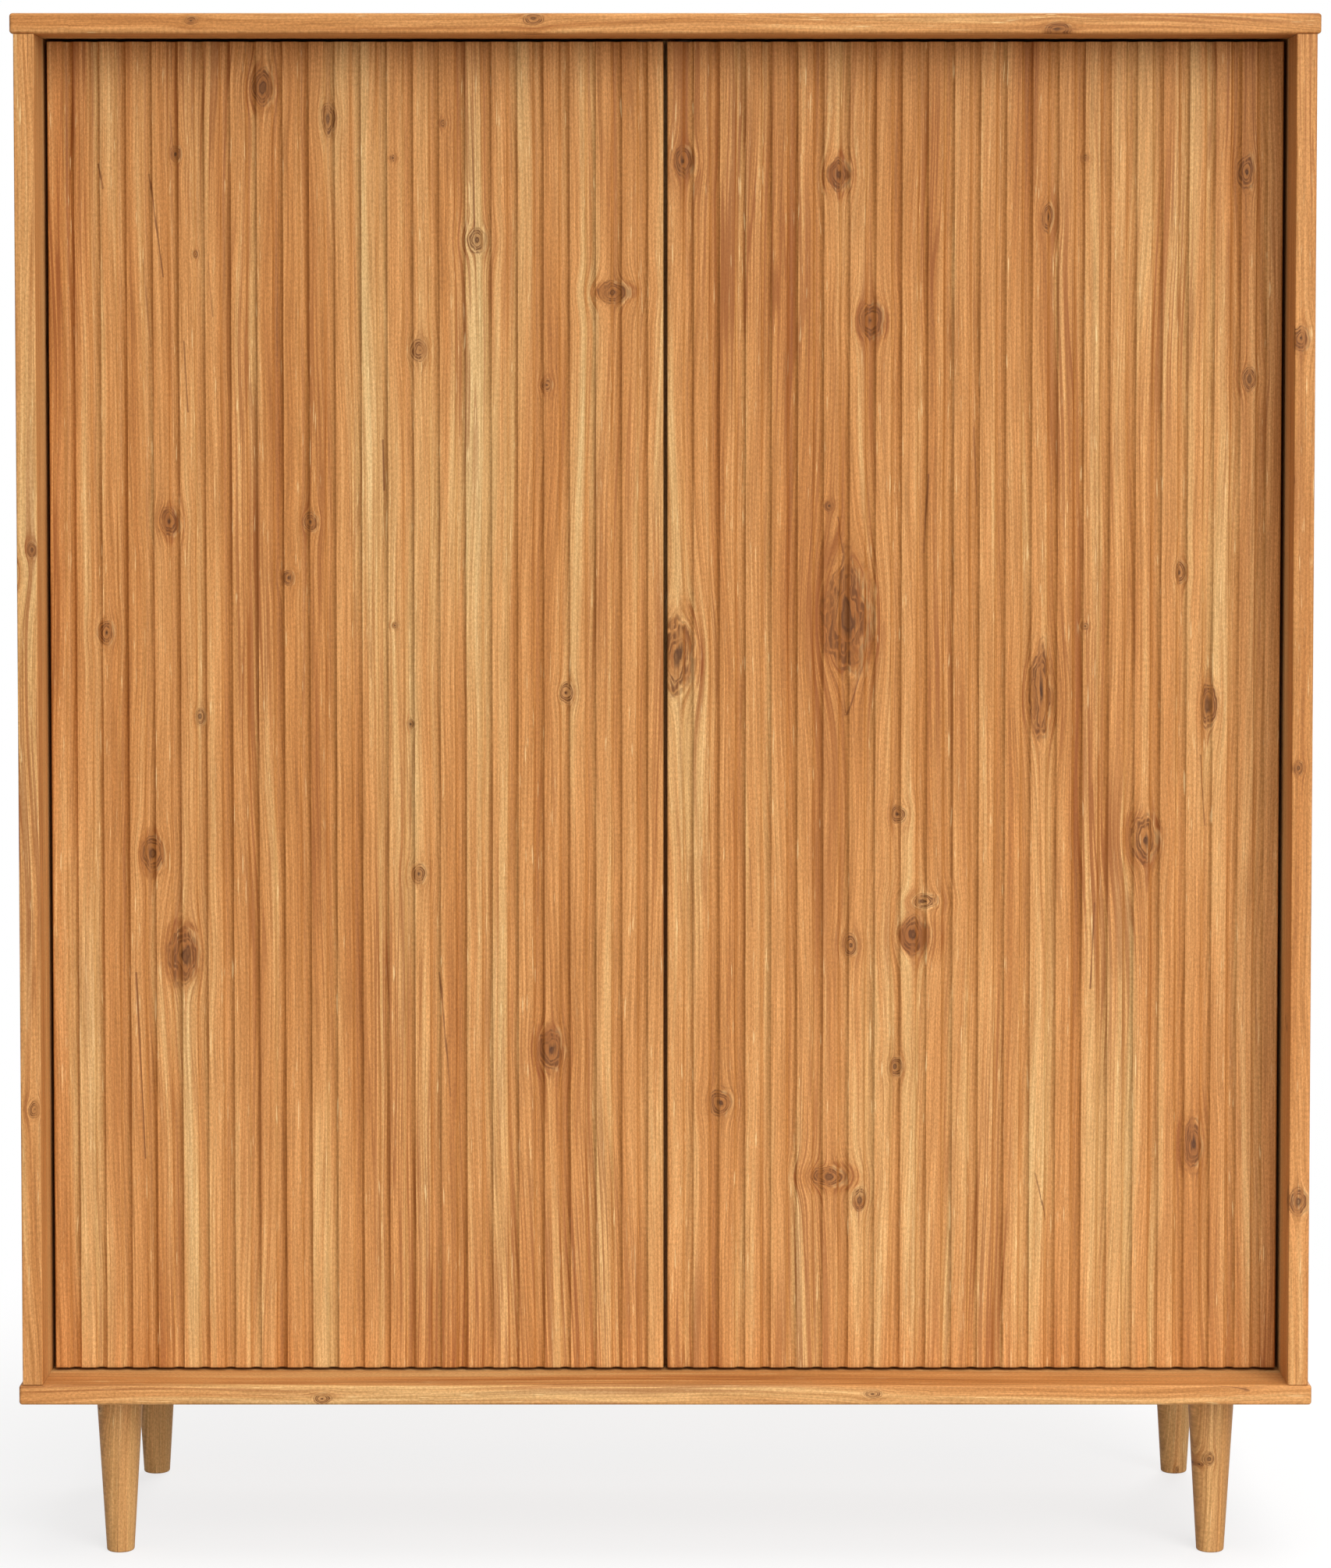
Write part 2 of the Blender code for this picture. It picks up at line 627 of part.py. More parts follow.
def add_latches(material, parent):
    """A push latch on each side of the divider, under the top, with a sliding plunger."""

    def long_edge(middle):
        return abs(middle.y - LATCH_LENGTH / 2) < LATCH_ROUND and middle.z < -LATCH_ROUND

    housing_front = DOOR_REAR + LATCH_SETBACK
    bore_level = -LATCH_HEIGHT / 2
    body = block((-LATCH_WIDTH / 2, LATCH_WIDTH / 2), (0, LATCH_LENGTH), (-LATCH_HEIGHT, 0))
    rounded_edges(body, LATCH_ROUND, long_edge)
    bore = rod(PLUNGER_RADIUS + FIT, -OVERRUN, LATCH_BORE_DEPTH, SMALL_SIDES, "Y", (0, 0, bore_level))
    housing = shaped(body, "latch_housing", [("DIFFERENCE", bore)])
    tip = PLUNGER_RADIUS - PLUNGER_ROUND
    profile = [
        (tip, -PLUNGER_LENGTH),
        (PLUNGER_RADIUS, PLUNGER_ROUND - PLUNGER_LENGTH),
        (PLUNGER_RADIUS, -PLUNGER_ROUND),
        (tip, 0),
    ]
    plunger = mesh_from(turned(profile, SMALL_SIDES), "latch_plunger")
    for name, side in SIDES.items():
        across = side * LATCH_FROM_MIDDLE
        top = INSIDE_TOP - FIT
        add_piece(f"{name}_latch_housing", housing, material, (across, housing_front, top), parent=parent)
        add_piece(
            f"{name}_latch_plunger",
            plunger,
            material,
            (across, DOOR_REAR + FIT, top + bore_level),
            (math.pi / 2, 0, 0),
            parent,
            smooth=True,
        )


def add_legs(wood, steel, parent):
    """Tapered legs and the bolt that holds each to the bottom panel."""
    top = LEG_HEIGHT - FIT
    slope = (LEG_TOP_RADIUS - LEG_FOOT_RADIUS) / top
    profile = [
        (LEG_FOOT_RADIUS - LEG_FOOT_ROUND, 0),
        (LEG_FOOT_RADIUS + slope * LEG_FOOT_ROUND, LEG_FOOT_ROUND),
        (LEG_TOP_RADIUS - slope * LEG_TOP_ROUND, top - LEG_TOP_ROUND),
        (LEG_TOP_RADIUS - LEG_TOP_ROUND, top),
    ]
    hole = rod(BOLT_RADIUS + FIT, top - BOLT_IN_LEG - FIT, top + OVERRUN, SMALL_SIDES)
    leg = shaped(turned(profile, LEG_SIDES), "leg", [("DIFFERENCE", hole)])
    bolt_shape = rod(BOLT_RADIUS, top - BOLT_IN_LEG, LEG_HEIGHT + BOLT_IN_PANEL, SMALL_SIDES)
    bolt = mesh_from(bolt_shape, "leg_bolt")
    for name, (x, y) in leg_places().items():
        add_piece(f"{name}_leg", leg, wood, (x, y, 0), parent=parent, smooth=True)
        add_piece(f"{name}_leg_bolt", bolt, steel, (x, y, 0), parent=parent, smooth=True)


def main():
    clear_scene()
    materials = {name: make_material(name) for name in LOOKS}
    carcass = add_empty("highboard", (0, 0, 0))
    add_end_panels(materials["wood_decor"], carcass)
    add_uprights(materials["wood_decor"], carcass)
    add_back_boards(materials["back_board"], carcass)
    add_shelves(materials["wood_decor"], carcass)
    add_shelf_pins(materials["pin_steel"], carcass)
    add_doors_and_hinges(materials["wood_decor"], materials["hinge_steel"], carcass)
    add_latches(materials["latch_plastic"], carcass)
    add_legs(materials["wood_leg"], materials["bolt_steel"], carcass)
    bpy.context.view_layer.update()


main()
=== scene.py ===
import math

import bmesh
import bpy
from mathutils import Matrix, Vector


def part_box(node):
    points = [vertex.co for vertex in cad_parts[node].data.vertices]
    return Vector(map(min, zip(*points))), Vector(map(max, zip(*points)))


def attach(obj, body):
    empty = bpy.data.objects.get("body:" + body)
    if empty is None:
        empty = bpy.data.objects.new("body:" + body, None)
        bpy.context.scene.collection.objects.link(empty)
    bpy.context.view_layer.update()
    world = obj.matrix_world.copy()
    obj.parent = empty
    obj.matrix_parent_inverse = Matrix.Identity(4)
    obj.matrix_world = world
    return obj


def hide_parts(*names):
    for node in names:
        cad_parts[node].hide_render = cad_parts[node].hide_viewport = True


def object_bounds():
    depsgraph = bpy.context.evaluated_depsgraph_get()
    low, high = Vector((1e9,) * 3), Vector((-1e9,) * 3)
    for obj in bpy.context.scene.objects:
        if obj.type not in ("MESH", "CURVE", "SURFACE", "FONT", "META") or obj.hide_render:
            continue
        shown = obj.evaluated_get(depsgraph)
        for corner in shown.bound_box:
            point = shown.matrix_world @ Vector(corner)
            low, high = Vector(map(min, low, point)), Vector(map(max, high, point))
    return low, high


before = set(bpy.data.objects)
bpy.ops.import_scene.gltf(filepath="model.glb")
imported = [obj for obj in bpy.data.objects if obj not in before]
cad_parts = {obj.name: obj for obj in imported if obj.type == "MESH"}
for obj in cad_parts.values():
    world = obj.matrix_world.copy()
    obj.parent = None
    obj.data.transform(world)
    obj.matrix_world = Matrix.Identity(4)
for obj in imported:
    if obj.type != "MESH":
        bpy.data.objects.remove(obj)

cad_low, cad_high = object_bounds()

# The photograph, in pixels, and where its camera stood: level, in front of the panels' edges
PHOTO_WIDTH = 1706
PHOTO_HEIGHT = 2010
FOCAL_PIXELS = 6032
CENTRE_COLUMN = 852.8
HORIZON_ROW = 165
CAMERA_HEIGHT = 1.137
CAMERA_TO_FRONT = 3.690

# The camera here: less shift than the photograph's, which would push the object out of other views,
# and a slight tilt, from the place that keeps the picture most alike
VIEW_SHIFT = -0.12
VIEW_HEIGHT = 0.950
VIEW_TO_FRONT = 3.498
VIEW_TILT = 2.888
VIEW_FOCAL_PIXELS = 5742
SENSOR = 36

# Doors and their ribs
SCOOP_PITCH = 0.0206
SCOOP_WIDTH = 0.0084
SCOOP_DEPTH = 0.0028
LEAST_EDGE_LAND = 0.010
SCOOP_STEPS = 14
LAND_EDGE_ROUND = 0.0004
DOOR_EDGE_ROUND = 0.002
DOOR_REAR_ROUND = 0.0006
DOOR_END_ROUND = 0.0004
DOOR_END_SHOULDER = 0.3
END_SUPPORT = 0.003
ROUND_STEPS = 5
REAR_ROUND_STEPS = 2

# The wood of a door is made in bands, each with the knots that reach into it
DOOR_BANDS = 3

# Recesses of the hinge cups in a door's rear
CUP_RECESS_RADIUS = 0.0178
CUP_RECESS_DEPTH = 0.0128
CUP_SIDES = 64

# Boards
BOARD_ROUND = 0.0025

# Legs
LEG_SIDES = 72
LEG_TOP_RADIUS = 0.019
LEG_FOOT_RADIUS = 0.011
LEG_TOP_ROUND = 0.0006
LEG_FOOT_ROUND = 0.0018
LEG_BORE_RADIUS = 0.0043
LEG_BORE_DEPTH = 0.0253
LEG_TOP_STEPS = 4
LEG_FOOT_STEPS = 6
LEG_SHAFT_STEPS = 12

front_y = cad_low.y
door_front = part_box("left_door")[0].y
door_depth = door_front - front_y


# Camera

def photo_scale(depth):
    """Metres in a pixel of the photograph, at a depth behind the panels' front edges."""
    return (CAMERA_TO_FRONT + depth) / FOCAL_PIXELS


def photo_place(column, row, depth):
    """Across and up, in metres, of a pixel of the photograph at that depth."""
    scale = photo_scale(depth)
    return (column - CENTRE_COLUMN) * scale, CAMERA_HEIGHT - (row - HORIZON_ROW) * scale


def add_camera():
    data = bpy.data.cameras.new("camera")
    camera = new_object("camera", data)
    data.sensor_width = SENSOR
    data.lens = SENSOR * VIEW_FOCAL_PIXELS / PHOTO_HEIGHT
    data.shift_x = (PHOTO_WIDTH / 2 - CENTRE_COLUMN) / PHOTO_HEIGHT
    data.shift_y = VIEW_SHIFT
    camera.location = (0, front_y - VIEW_TO_FRONT, VIEW_HEIGHT)
    camera.rotation_euler = (math.radians(90 - VIEW_TILT), 0, 0)
    bpy.context.scene.camera = camera


# Meshes

SHARP_DEGREES = 35


def new_object(name, data):
    item = bpy.data.objects.new(name, data)
    bpy.context.scene.collection.objects.link(item)
    return item


def add_object(name, mesh, material, body, stands_for):
    """A finished piece that rides on a body, in place of the nodes in stands_for."""
    piece = new_object(name, mesh)
    for part in material if isinstance(material, list) else [material]:
        mesh.materials.append(part)
    mesh.shade_smooth()
    mesh.set_sharp_from_angle(angle=math.radians(SHARP_DEGREES))
    piece.modifiers.new("flat_faces", "WEIGHTED_NORMAL").keep_sharp = True
    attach(piece, body)
    if stands_for:
        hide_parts(*stands_for)


def finish_mesh(shape, name):
    bmesh.ops.recalc_face_normals(shape, faces=shape.faces)
    mesh = bpy.data.meshes.new(name)
    shape.to_mesh(mesh)
    shape.free()
    return mesh


def arc(centre, radius, start, end, steps):
    """Points on an arc in a section, its angles in quarter turns."""
    turns = [(start + (end - start) * step / steps) * math.pi / 2 for step in range(steps + 1)]
    return [(centre[0] + radius * math.cos(t), centre[1] + radius * math.sin(t)) for t in turns]


def circle(sides):
    turns = [2 * math.pi * side / sides for side in range(sides)]
    return [(math.cos(turn), math.sin(turn)) for turn in turns]


def join(shape, below, above):
    """Faces between two rings with as many points."""
    for a, b, c, d in zip(below, below[1:] + below[:1], above[1:] + above[:1], above):
        shape.faces.new((a, b, c, d))


def loop_edges(shape, loop):
    ends = zip(loop, loop[1:] + loop[:1])
    return [shape.edges.get(pair) or shape.edges.new(pair) for pair in ends]


def fill(shape, edges):
    bmesh.ops.triangle_fill(shape, use_beauty=True, use_dissolve=False, edges=edges)


def scoop_line(middle, front):
    """A groove with a round floor and eased edges, in the front of a door."""
    radius = (SCOOP_WIDTH ** 2 / 4 + SCOOP_DEPTH ** 2) / (2 * SCOOP_DEPTH)
    half_turn = math.asin(SCOOP_WIDTH / 2 / radius)
    ease = LAND_EDGE_ROUND
    points = [(middle - SCOOP_WIDTH / 2 - ease, front)]
    for step in range(1, SCOOP_STEPS):
        turn = half_turn * (2 * step / SCOOP_STEPS - 1)
        rise = radius * (1 - math.cos(turn))
        points.append((middle + radius * math.sin(turn), front + SCOOP_DEPTH - rise))
    points.append((middle + SCOOP_WIDTH / 2 + ease, front))
    return points


def scoop_count(low, high):
    return int((high.x - low.x - SCOOP_WIDTH - 2 * LEAST_EDGE_LAND) / SCOOP_PITCH) + 1


def first_scoop(low, high):
    """The place of the middle of the first groove."""
    return (low.x + high.x) / 2 - (scoop_count(low, high) - 1) * SCOOP_PITCH / 2


def door_outline(low, high):
    """The door's section, anticlockwise from its front left corner."""
    scoops = scoop_count(low, high)
    front, rear = DOOR_EDGE_ROUND, DOOR_REAR_ROUND
    outline = arc((low.x + front, low.y + front), front, 2, 3, ROUND_STEPS)
    for scoop in range(scoops):
        outline += scoop_line(first_scoop(low, high) + scoop * SCOOP_PITCH, low.y)
    outline += arc((high.x - front, low.y + front), front, 3, 4, ROUND_STEPS)
    outline += arc((high.x - rear, high.y - rear), rear, 0, 1, REAR_ROUND_STEPS)
    outline += arc((low.x + rear, high.y - rear), rear, 1, 2, REAR_ROUND_STEPS)
    return [Vector(point) for point in outline]


def drawn_in(outline, amount):
    """The outline moved inwards by an amount; it runs anticlockwise."""
    moved = []
    for number, point in enumerate(outline):
        before, after = outline[number - 1], outline[(number + 1) % len(outline)]
        along = (after - before).normalized()
        moved.append(point + Vector((-along.y, along.x)) * amount)
    return moved


def door_mesh(name, cups):
    """A ribbed door with eased ends and a round recess in its rear for each hinge cup."""
    low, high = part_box(name)
    outline = door_outline(low, high)
    ease, shoulder = DOOR_END_ROUND, DOOR_END_ROUND * DOOR_END_SHOULDER
    band = (high.z - low.z) / DOOR_BANDS
    end = [(0, ease), (shoulder, shoulder), (ease, 0), (END_SUPPORT, 0)]
    levels = [(low.z + rise, inset) for rise, inset in end]
    levels += [(low.z + number * band, 0) for number in range(1, DOOR_BANDS)]
    levels += [(high.z - rise, inset) for rise, inset in reversed(end)]
    shape = bmesh.new()
    rings = [
        [shape.verts.new((point.x, point.y, level)) for point in drawn_in(outline, inset)]
        for level, inset in levels
    ]
    count = len(outline)
    # The flat rear lies between its two corners, and between the levels that support the ends
    rear_run = count - REAR_ROUND_STEPS - 2
    first, last = len(end) - 1, len(levels) - len(end)
    for number, (below, above) in enumerate(zip(rings, rings[1:])):
        for here in range(count):
            after = (here + 1) % count
            if here == rear_run and first <= number < last:
                continue
            shape.faces.new((below[here], below[after], above[after], above[here]))
    shape.faces.new(rings[0][::-1])
    shape.faces.new(rings[-1])
    shape.edges.ensure_lookup_table()
    corners = [ring[rear_run] for ring in rings[first:last + 1]]
    corners += [ring[rear_run + 1] for ring in rings[last:first - 1:-1]]
    rim = loop_edges(shape, corners)
    for cup_low, cup_high in cups:
        rim += recess(shape, cup_low, cup_high, high.y)
    fill(shape, rim)
    for face in shape.faces:
        middle = face.calc_center_median()
        face.material_index = min(int((middle.z - low.z) / band), DOOR_BANDS - 1)
        # The flat rear, in triangles, and the floors of the recesses keep the wood of their band
        deep = middle.y > high.y - CUP_RECESS_DEPTH - LAND_EDGE_ROUND
        inside = low.x + DOOR_EDGE_ROUND < middle.x < high.x - DOOR_EDGE_ROUND
        if deep and inside and len(face.verts) == 4:
            face.material_index = DOOR_BANDS
    return finish_mesh(shape, name)


def recess(shape, cup_low, cup_high, rear):
    """A blind round hole from the rear face; returns the edges of its mouth."""
    middle_x, middle_z = (cup_low.x + cup_high.x) / 2, (cup_low.z + cup_high.z) / 2
    mouth, floor = [], []
    for x, z in circle(CUP_SIDES):
        x, z = middle_x + CUP_RECESS_RADIUS * x, middle_z + CUP_RECESS_RADIUS * z
        mouth.append(shape.verts.new((x, rear, z)))
        floor.append(shape.verts.new((x, rear - CUP_RECESS_DEPTH, z)))
    join(shape, mouth, floor)
    shape.faces.new(floor)
    return loop_edges(shape, mouth)


def turned_mesh(name, profile, centre, sides):
    """A solid turned about an upright line, from points (radius, height)."""
    shape = bmesh.new()
    rings = []
    for radius, height in profile:
        points = circle(sides if radius else 1)
        around = [(centre.x + radius * x, centre.y + radius * y) for x, y in points]
        rings.append([shape.verts.new((x, y, height)) for x, y in around])
    for below, above in zip(rings, rings[1:]):
        for here in range(sides):
            after = (here + 1) % sides
            corners = [below[here % len(below)], below[after % len(below)]]
            corners += [above[after % len(above)], above[here % len(above)]]
            shape.faces.new(list(dict.fromkeys(corners)))
    return finish_mesh(shape, name)


def board_mesh(name, low, high, radius):
    """A board with rounded edges, but for those of its rear face."""
    shape = bmesh.new()
    bmesh.ops.create_cube(shape, size=1)
    for vertex in shape.verts:
        vertex.co = Vector(
            (low[axis] + high[axis]) / 2 + vertex.co[axis] * (high[axis] - low[axis])
            for axis in range(3)
        )
    edges = [e for e in shape.edges if sum(v.co.y for v in e.verts) / 2 < high.y - radius]
    bmesh.ops.bevel(
        shape, geom=edges, offset=radius, segments=ROUND_STEPS, profile=0.5, affect="EDGES"
    )
    return finish_mesh(shape, name)


def leg_profile(low, high):
    """Half of a leg's section, as (radius, height), from the middle of its foot to its bore."""
    slope = (LEG_TOP_RADIUS - LEG_FOOT_RADIUS) / (high - low)
    foot_radius = LEG_FOOT_RADIUS + slope * LEG_FOOT_ROUND
    foot_centre = (foot_radius - LEG_FOOT_ROUND, low + LEG_FOOT_ROUND)
    foot = arc(foot_centre, LEG_FOOT_ROUND, -1, 0, LEG_FOOT_STEPS)
    top_centre = (LEG_TOP_RADIUS - LEG_TOP_ROUND, high - LEG_TOP_ROUND)
    top = arc(top_centre, LEG_TOP_ROUND, 0, 1, LEG_TOP_STEPS)
    shaft = [
        tuple(a + (b - a) * step / LEG_SHAFT_STEPS for a, b in zip(foot[-1], top[0]))
        for step in range(1, LEG_SHAFT_STEPS)
    ]
    bore = [(LEG_BORE_RADIUS, high), (LEG_BORE_RADIUS, high - LEG_BORE_DEPTH)]
    return [(0, low), *foot, *shaft, *top, *bore, (0, high - LEG_BORE_DEPTH)]


# Node trees

def tint(red, green, blue):
    """A linear colour from display values of 0 to 255."""
    shares = [value / 255 for value in (red, green, blue)]
    linear = [v / 12.92 if v <= 0.04045 else ((v + 0.055) / 1.055) ** 2.4 for v in shares]
    return (*linear, 1)


class Tree:
    """Short calls for building a node tree; each gives the socket of its result."""

    def __init__(self, owner):
        owner.use_nodes = True
        self.owner, self.tree = owner, owner.node_tree
        self.tree.nodes.clear()

    def put(self, kind, inputs=None, output=0, **settings):
        node = self.tree.nodes.new("ShaderNode" + kind)
        for name, value in settings.items():
            setattr(node, name, value)
        for place, value in (inputs or {}).items():
            if isinstance(value, bpy.types.NodeSocket):
                self.tree.links.new(value, node.inputs[place])
            else:
                node.inputs[place].default_value = value
        return node.outputs[output] if node.outputs else None

    def math(self, operation, *values, clamp=False):
        inputs = dict(enumerate(values))
        return self.put("Math", inputs, operation=operation, use_clamp=clamp)

    def times(self, *values):
        return self.math("MULTIPLY", *values)

    def plus(self, *values):
        return self.math("ADD", *values)

    def minus(self, *values):
        return self.math("SUBTRACT", *values)

    def most(self, *values):
        return self.math("MAXIMUM", *values)

    def fused(self, *values, clamp=False):
        """The first value times the second, plus the third."""
        return self.math("MULTIPLY_ADD", *values, clamp=clamp)

    def place(self):
        """The point in the object's own coordinates, which move with it."""
        return self.put("TexCoord", output=3)

    def vector(self, operation, *values, output=0):
        inputs = dict(enumerate(values))
        return self.put("VectorMath", inputs, output, operation=operation)

    def scaled(self, vector, factor):
        return self.put("VectorMath", {0: vector, 3: factor}, operation="SCALE")

    def apart(self, vector):
        return tuple(self.put("SeparateXYZ", {0: vector}).node.outputs)

    def together(self, x, y, z=0.0):
        return self.put("CombineXYZ", {0: x, 1: y, 2: z})

    def noise(self, vector, detail=2.0, roughness=0.5):
        inputs = {"Vector": vector, "Scale": 1.0, "Detail": detail, "Roughness": roughness}
        return self.put("TexNoise", inputs, noise_dimensions="2D")

    def pattern(self, point, across, along, detail=2.0, roughness=0.5):
        """Flat noise with so many waves to a metre across and along the grain."""
        return self.noise(self.vector("MULTIPLY", point, (across, along, 0.0)), detail, roughness)

    def cloud(self, point, waves, detail):
        """Noise in space, with so many waves to a metre, alike or one number for each direction."""
        if isinstance(waves, tuple):
            point, waves = self.vector("MULTIPLY", point, waves), 1.0
        return self.put("TexNoise", {"Vector": point, "Scale": waves, "Detail": detail})

    def distance(self, value, other):
        return self.math("ABSOLUTE", self.minus(value, other))

    def span(self, value, low, high, to_low=0.0, to_high=1.0, smooth=True):
        """The value's place between low and high, from to_low to to_high."""
        inputs = dict(enumerate((value, low, high, to_low, to_high)))
        kind = "SMOOTHSTEP" if smooth else "LINEAR"
        return self.put("MapRange", inputs, interpolation_type=kind, clamp=True)

    def mix(self, factor, first, second, blend="MIX"):
        inputs = {0: factor, 6: first, 7: second}
        return self.put("Mix", inputs, 2, data_type="RGBA", blend_type=blend)

    def ramp(self, value, stops):
        node = self.put("ValToRGB", {0: value}).node
        elements = node.color_ramp.elements
        while len(elements) < len(stops):
            elements.new(0.5)
        for element, stop in zip(elements, stops):
            element.position, element.color = stop
        return node.outputs[0]


def new_tree(name):
    return Tree(bpy.data.materials.new(name))


def close_material(tree, colour, roughness, height, constants, strength, distance):
    """The principled surface of a material, with its relief; returns the material."""
    shader = tree.put("BsdfPrincipled", {"Base Color": colour, "Roughness": roughness}).node
    for name, value in constants.items():
        shader.inputs[name].default_value = value
    inputs = {"Strength": strength, "Distance": distance, "Height": height}
    tree.tree.links.new(tree.put("Bump", inputs), shader.inputs["Normal"])
    tree.put("OutputMaterial", {0: shader.outputs[0]})
    return tree.owner


# Wood

# Which directions lie across, through and along the grain
GRAINS = {"up": (0, 1, 2), "along": (1, 2, 0), "side": (1, 0, 2)}


def grain_point(tree, grain, skew):
    """Across and along the grain, as a flat vector in metres. The third direction moves it
    sideways, so that no face shows the pattern stretched."""
    across, through, along = GRAINS[grain]
    axes = tree.apart(tree.place())
    shifted = tree.fused(axes[through], skew, axes[across])
    return tree.together(shifted, axes[along])


def away_from(tree, point, across, along, wide, tall):
    """From a place to the point, in units of half its width and half its height, and its square."""
    scale, moved = (1 / wide, 1 / tall, 0.0), (-across * (1 / wide), -along * (1 / tall), 0.0)
    away = tree.vector("MULTIPLY_ADD", point, scale, moved)
    return away, tree.vector("DOT_PRODUCT", away, away, output=1)


def placed_knots(tree, point, knots):
    """How near the knots are (1 on a knot's edge, more inside) and how far they push the grain."""
    nearness, push = None, (0.0, 0.0, 0.0)
    for across, along, radius, stretch in knots:
        away, square = away_from(tree, point, across, along, radius, radius * stretch)
        inverse = tree.math("DIVIDE", 1.0, square)
        amount = tree.math("SUBTRACT", inverse, 1 / KNOT_REACH ** 2, clamp=True)
        part = tree.vector("MULTIPLY", away, amount)
        nearness = inverse if nearness is None else tree.most(nearness, inverse)
        push = tree.vector("MULTIPLY_ADD", part, (-radius, 0.0, 0.0), push)
    return nearness, push


def placed_zones(tree, point, zones):
    """Darker and lighter places of the board: the shift of tone at a point."""
    shift = 0.0
    for across, along, half_width, half_height, amount in zones:
        _, square = away_from(tree, point, across, along, half_width, half_height)
        shift = tree.plus(tree.span(square, 0.0, 1.0, amount, 0.0), shift)
    return shift


def placed_cracks(tree, point, cracks):
    """How far the point lies from the nearest crack, in metres."""
    nearest = None
    for start, end in cracks:
        run = (end[0] - start[0], end[1] - start[1])
        length = math.hypot(*run)
        along = (run[0] / length, run[1] / length, 0.0)
        away = tree.vector("SUBTRACT", point, (*start, 0.0))
        place = tree.vector("DOT_PRODUCT", away, along, output=1)
        place = tree.math("MINIMUM", tree.most(place, 0.0), length)
        beside = tree.vector("SUBTRACT", away, tree.scaled(along, place))
        rest = tree.vector("LENGTH", beside, output=1)
        nearest = rest if nearest is None else tree.math("MINIMUM", nearest, rest)
    return nearest


def scattered_knots(tree, point, cell, chance, radius, offset):
    """The same for knots that lie at random, one at most in each cell of the board."""
    moved = tree.vector("ADD", point, (*offset, 0.0))
    cells = tree.vector("DIVIDE", moved, (*cell, 1.0))
    inputs = {"Vector": cells, "Scale": 1.0, "Randomness": SCATTER_RANDOMNESS}
    node = tree.put("TexVoronoi", inputs, voronoi_dimensions="2D", feature="F1").node
    away = tree.vector("SUBTRACT", cells, node.outputs["Position"])
    away = tree.vector("MULTIPLY", away, (*cell, 0.0))
    present, size, _ = tree.apart(node.outputs["Color"])
    size = tree.span(size, 0.0, 1.0, radius * SCATTER_LEAST, radius, smooth=False)
    size = tree.times(size, tree.math("LESS_THAN", present, chance))
    away = tree.vector("MULTIPLY", away, (1.0, SCATTER_FLATTENED, 0.0))
    square = tree.vector("DOT_PRODUCT", away, away, output=1)
    square = tree.plus(square, SCATTER_LEAST_SQUARE)
    inverse = tree.math("DIVIDE", tree.times(size, size), square)
    push = tree.scaled(away, tree.times(inverse, -1.0))
    return inverse, push


KNOT_REACH = 4.5
MOST_PUSH = 0.02
SCATTER_RANDOMNESS = 0.85
SCATTER_LEAST = 0.45
SCATTER_FLATTENED = 0.55
SCATTER_LEAST_SQUARE = 1e-7
SEED_ALONG = 1.7

LIGHT_WOOD = tint(222, 178, 118)
PALE_FLECK = tint(236, 204, 148)
DARK_LINE = tint(132, 70, 24)
RING_COLOUR = tint(166, 104, 46)
CRACK_COLOUR = tint(104, 56, 22)
KNOT_DARK = tint(62, 32, 10)
KNOT_RING = tint(100, 56, 20)
KNOT_HALO = tint(138, 84, 36)
TONES = [
    (0.26, tint(158, 94, 42)),
    (0.40, tint(186, 124, 65)),
    (0.52, tint(199, 140, 81)),
    (0.62, tint(205, 157, 99)),
    (0.78, tint(213, 178, 123)),
]

# Patterns of the wood: waves to a metre across and along the grain, detail, roughness
WANDER = (6.0, 1.6)
BROAD = (24.0, 1.1, 2.0, 0.55)
STREAK = (110.0, 2.2, 2.0, 0.6)
FINE = (520.0, 7.0, 2.0, 0.6)
FIBRE = (1500.0, 22.0, 2.0, 0.65)
SPECKLE = (720.0, 380.0, 2.0, 0.7)
RING_GROUPS = (18.0, 1.5, 1.0)
LINE_GROUPS = (15.0, 1.9, 1.0)
LINES = (460.0, 4.0, 1.0)
THREADS = (110.0, 2.0, 1.0)
FLECKS = (760.0, 34.0, 1.0)
CRACK_BREAKS = (60.0, 7.0, 0.0)
CRACK_CONTOURS = (46.0, 2.2, 0.0)
KNOT_SOFT = (95.0, 48.0, 2.0)
KNOT_FEATHER = (420.0, 26.0, 2.0, 0.6)

# How far the grain wanders sideways, and the share of each pattern in the tone
WANDER_REACH = 0.030
STREAK_SHARE = 0.36
BROAD_SHARE = 0.50
FINE_SHARE = 0.14
MIDDLE_TONE = 0.5
ZONE_SHARE = 0.45

# Ribs: waves from one to the next and along them, step of tone, painted shade of the grooves and
# rims, and the widths over which these fade, in pitches
RIB_CHANGE = 3.17
RIB_WAVES = 1.3
RIB_STEP = 0.16
GROOVE_PAINTED_SHADE = 0.875
GROOVE_FADE_IN = 0.03
GROOVE_FADE_OUT = 0.02
RIM_PAINTED_SHADE = 0.84
RIM_FADE = 0.035
BEHIND_GROOVE = 0.0005

# Growth lines: pitch, how far the broad bands bend them, their share of a pitch, strength
RING_PITCH = 0.0075
RING_BEND = 0.020
RING_LINE = (0.35, 1.0)
RING_NEAR_KNOT = (0.02, 0.35)
RING_VISIBLE = (0.42, 0.66, 0.05, 0.34)
RING_AT_KNOT = 0.35

# Fibres: range of the pattern and of the shade, and how red and blue follow it
FIBRE_SHADE = (0.32, 0.68, 0.67, 1.15)
SPECKLE_SHADE = (0.30, 0.70, 0.80, 1.15)
RED_POWER = 0.9
BLUE_POWER = 1.3

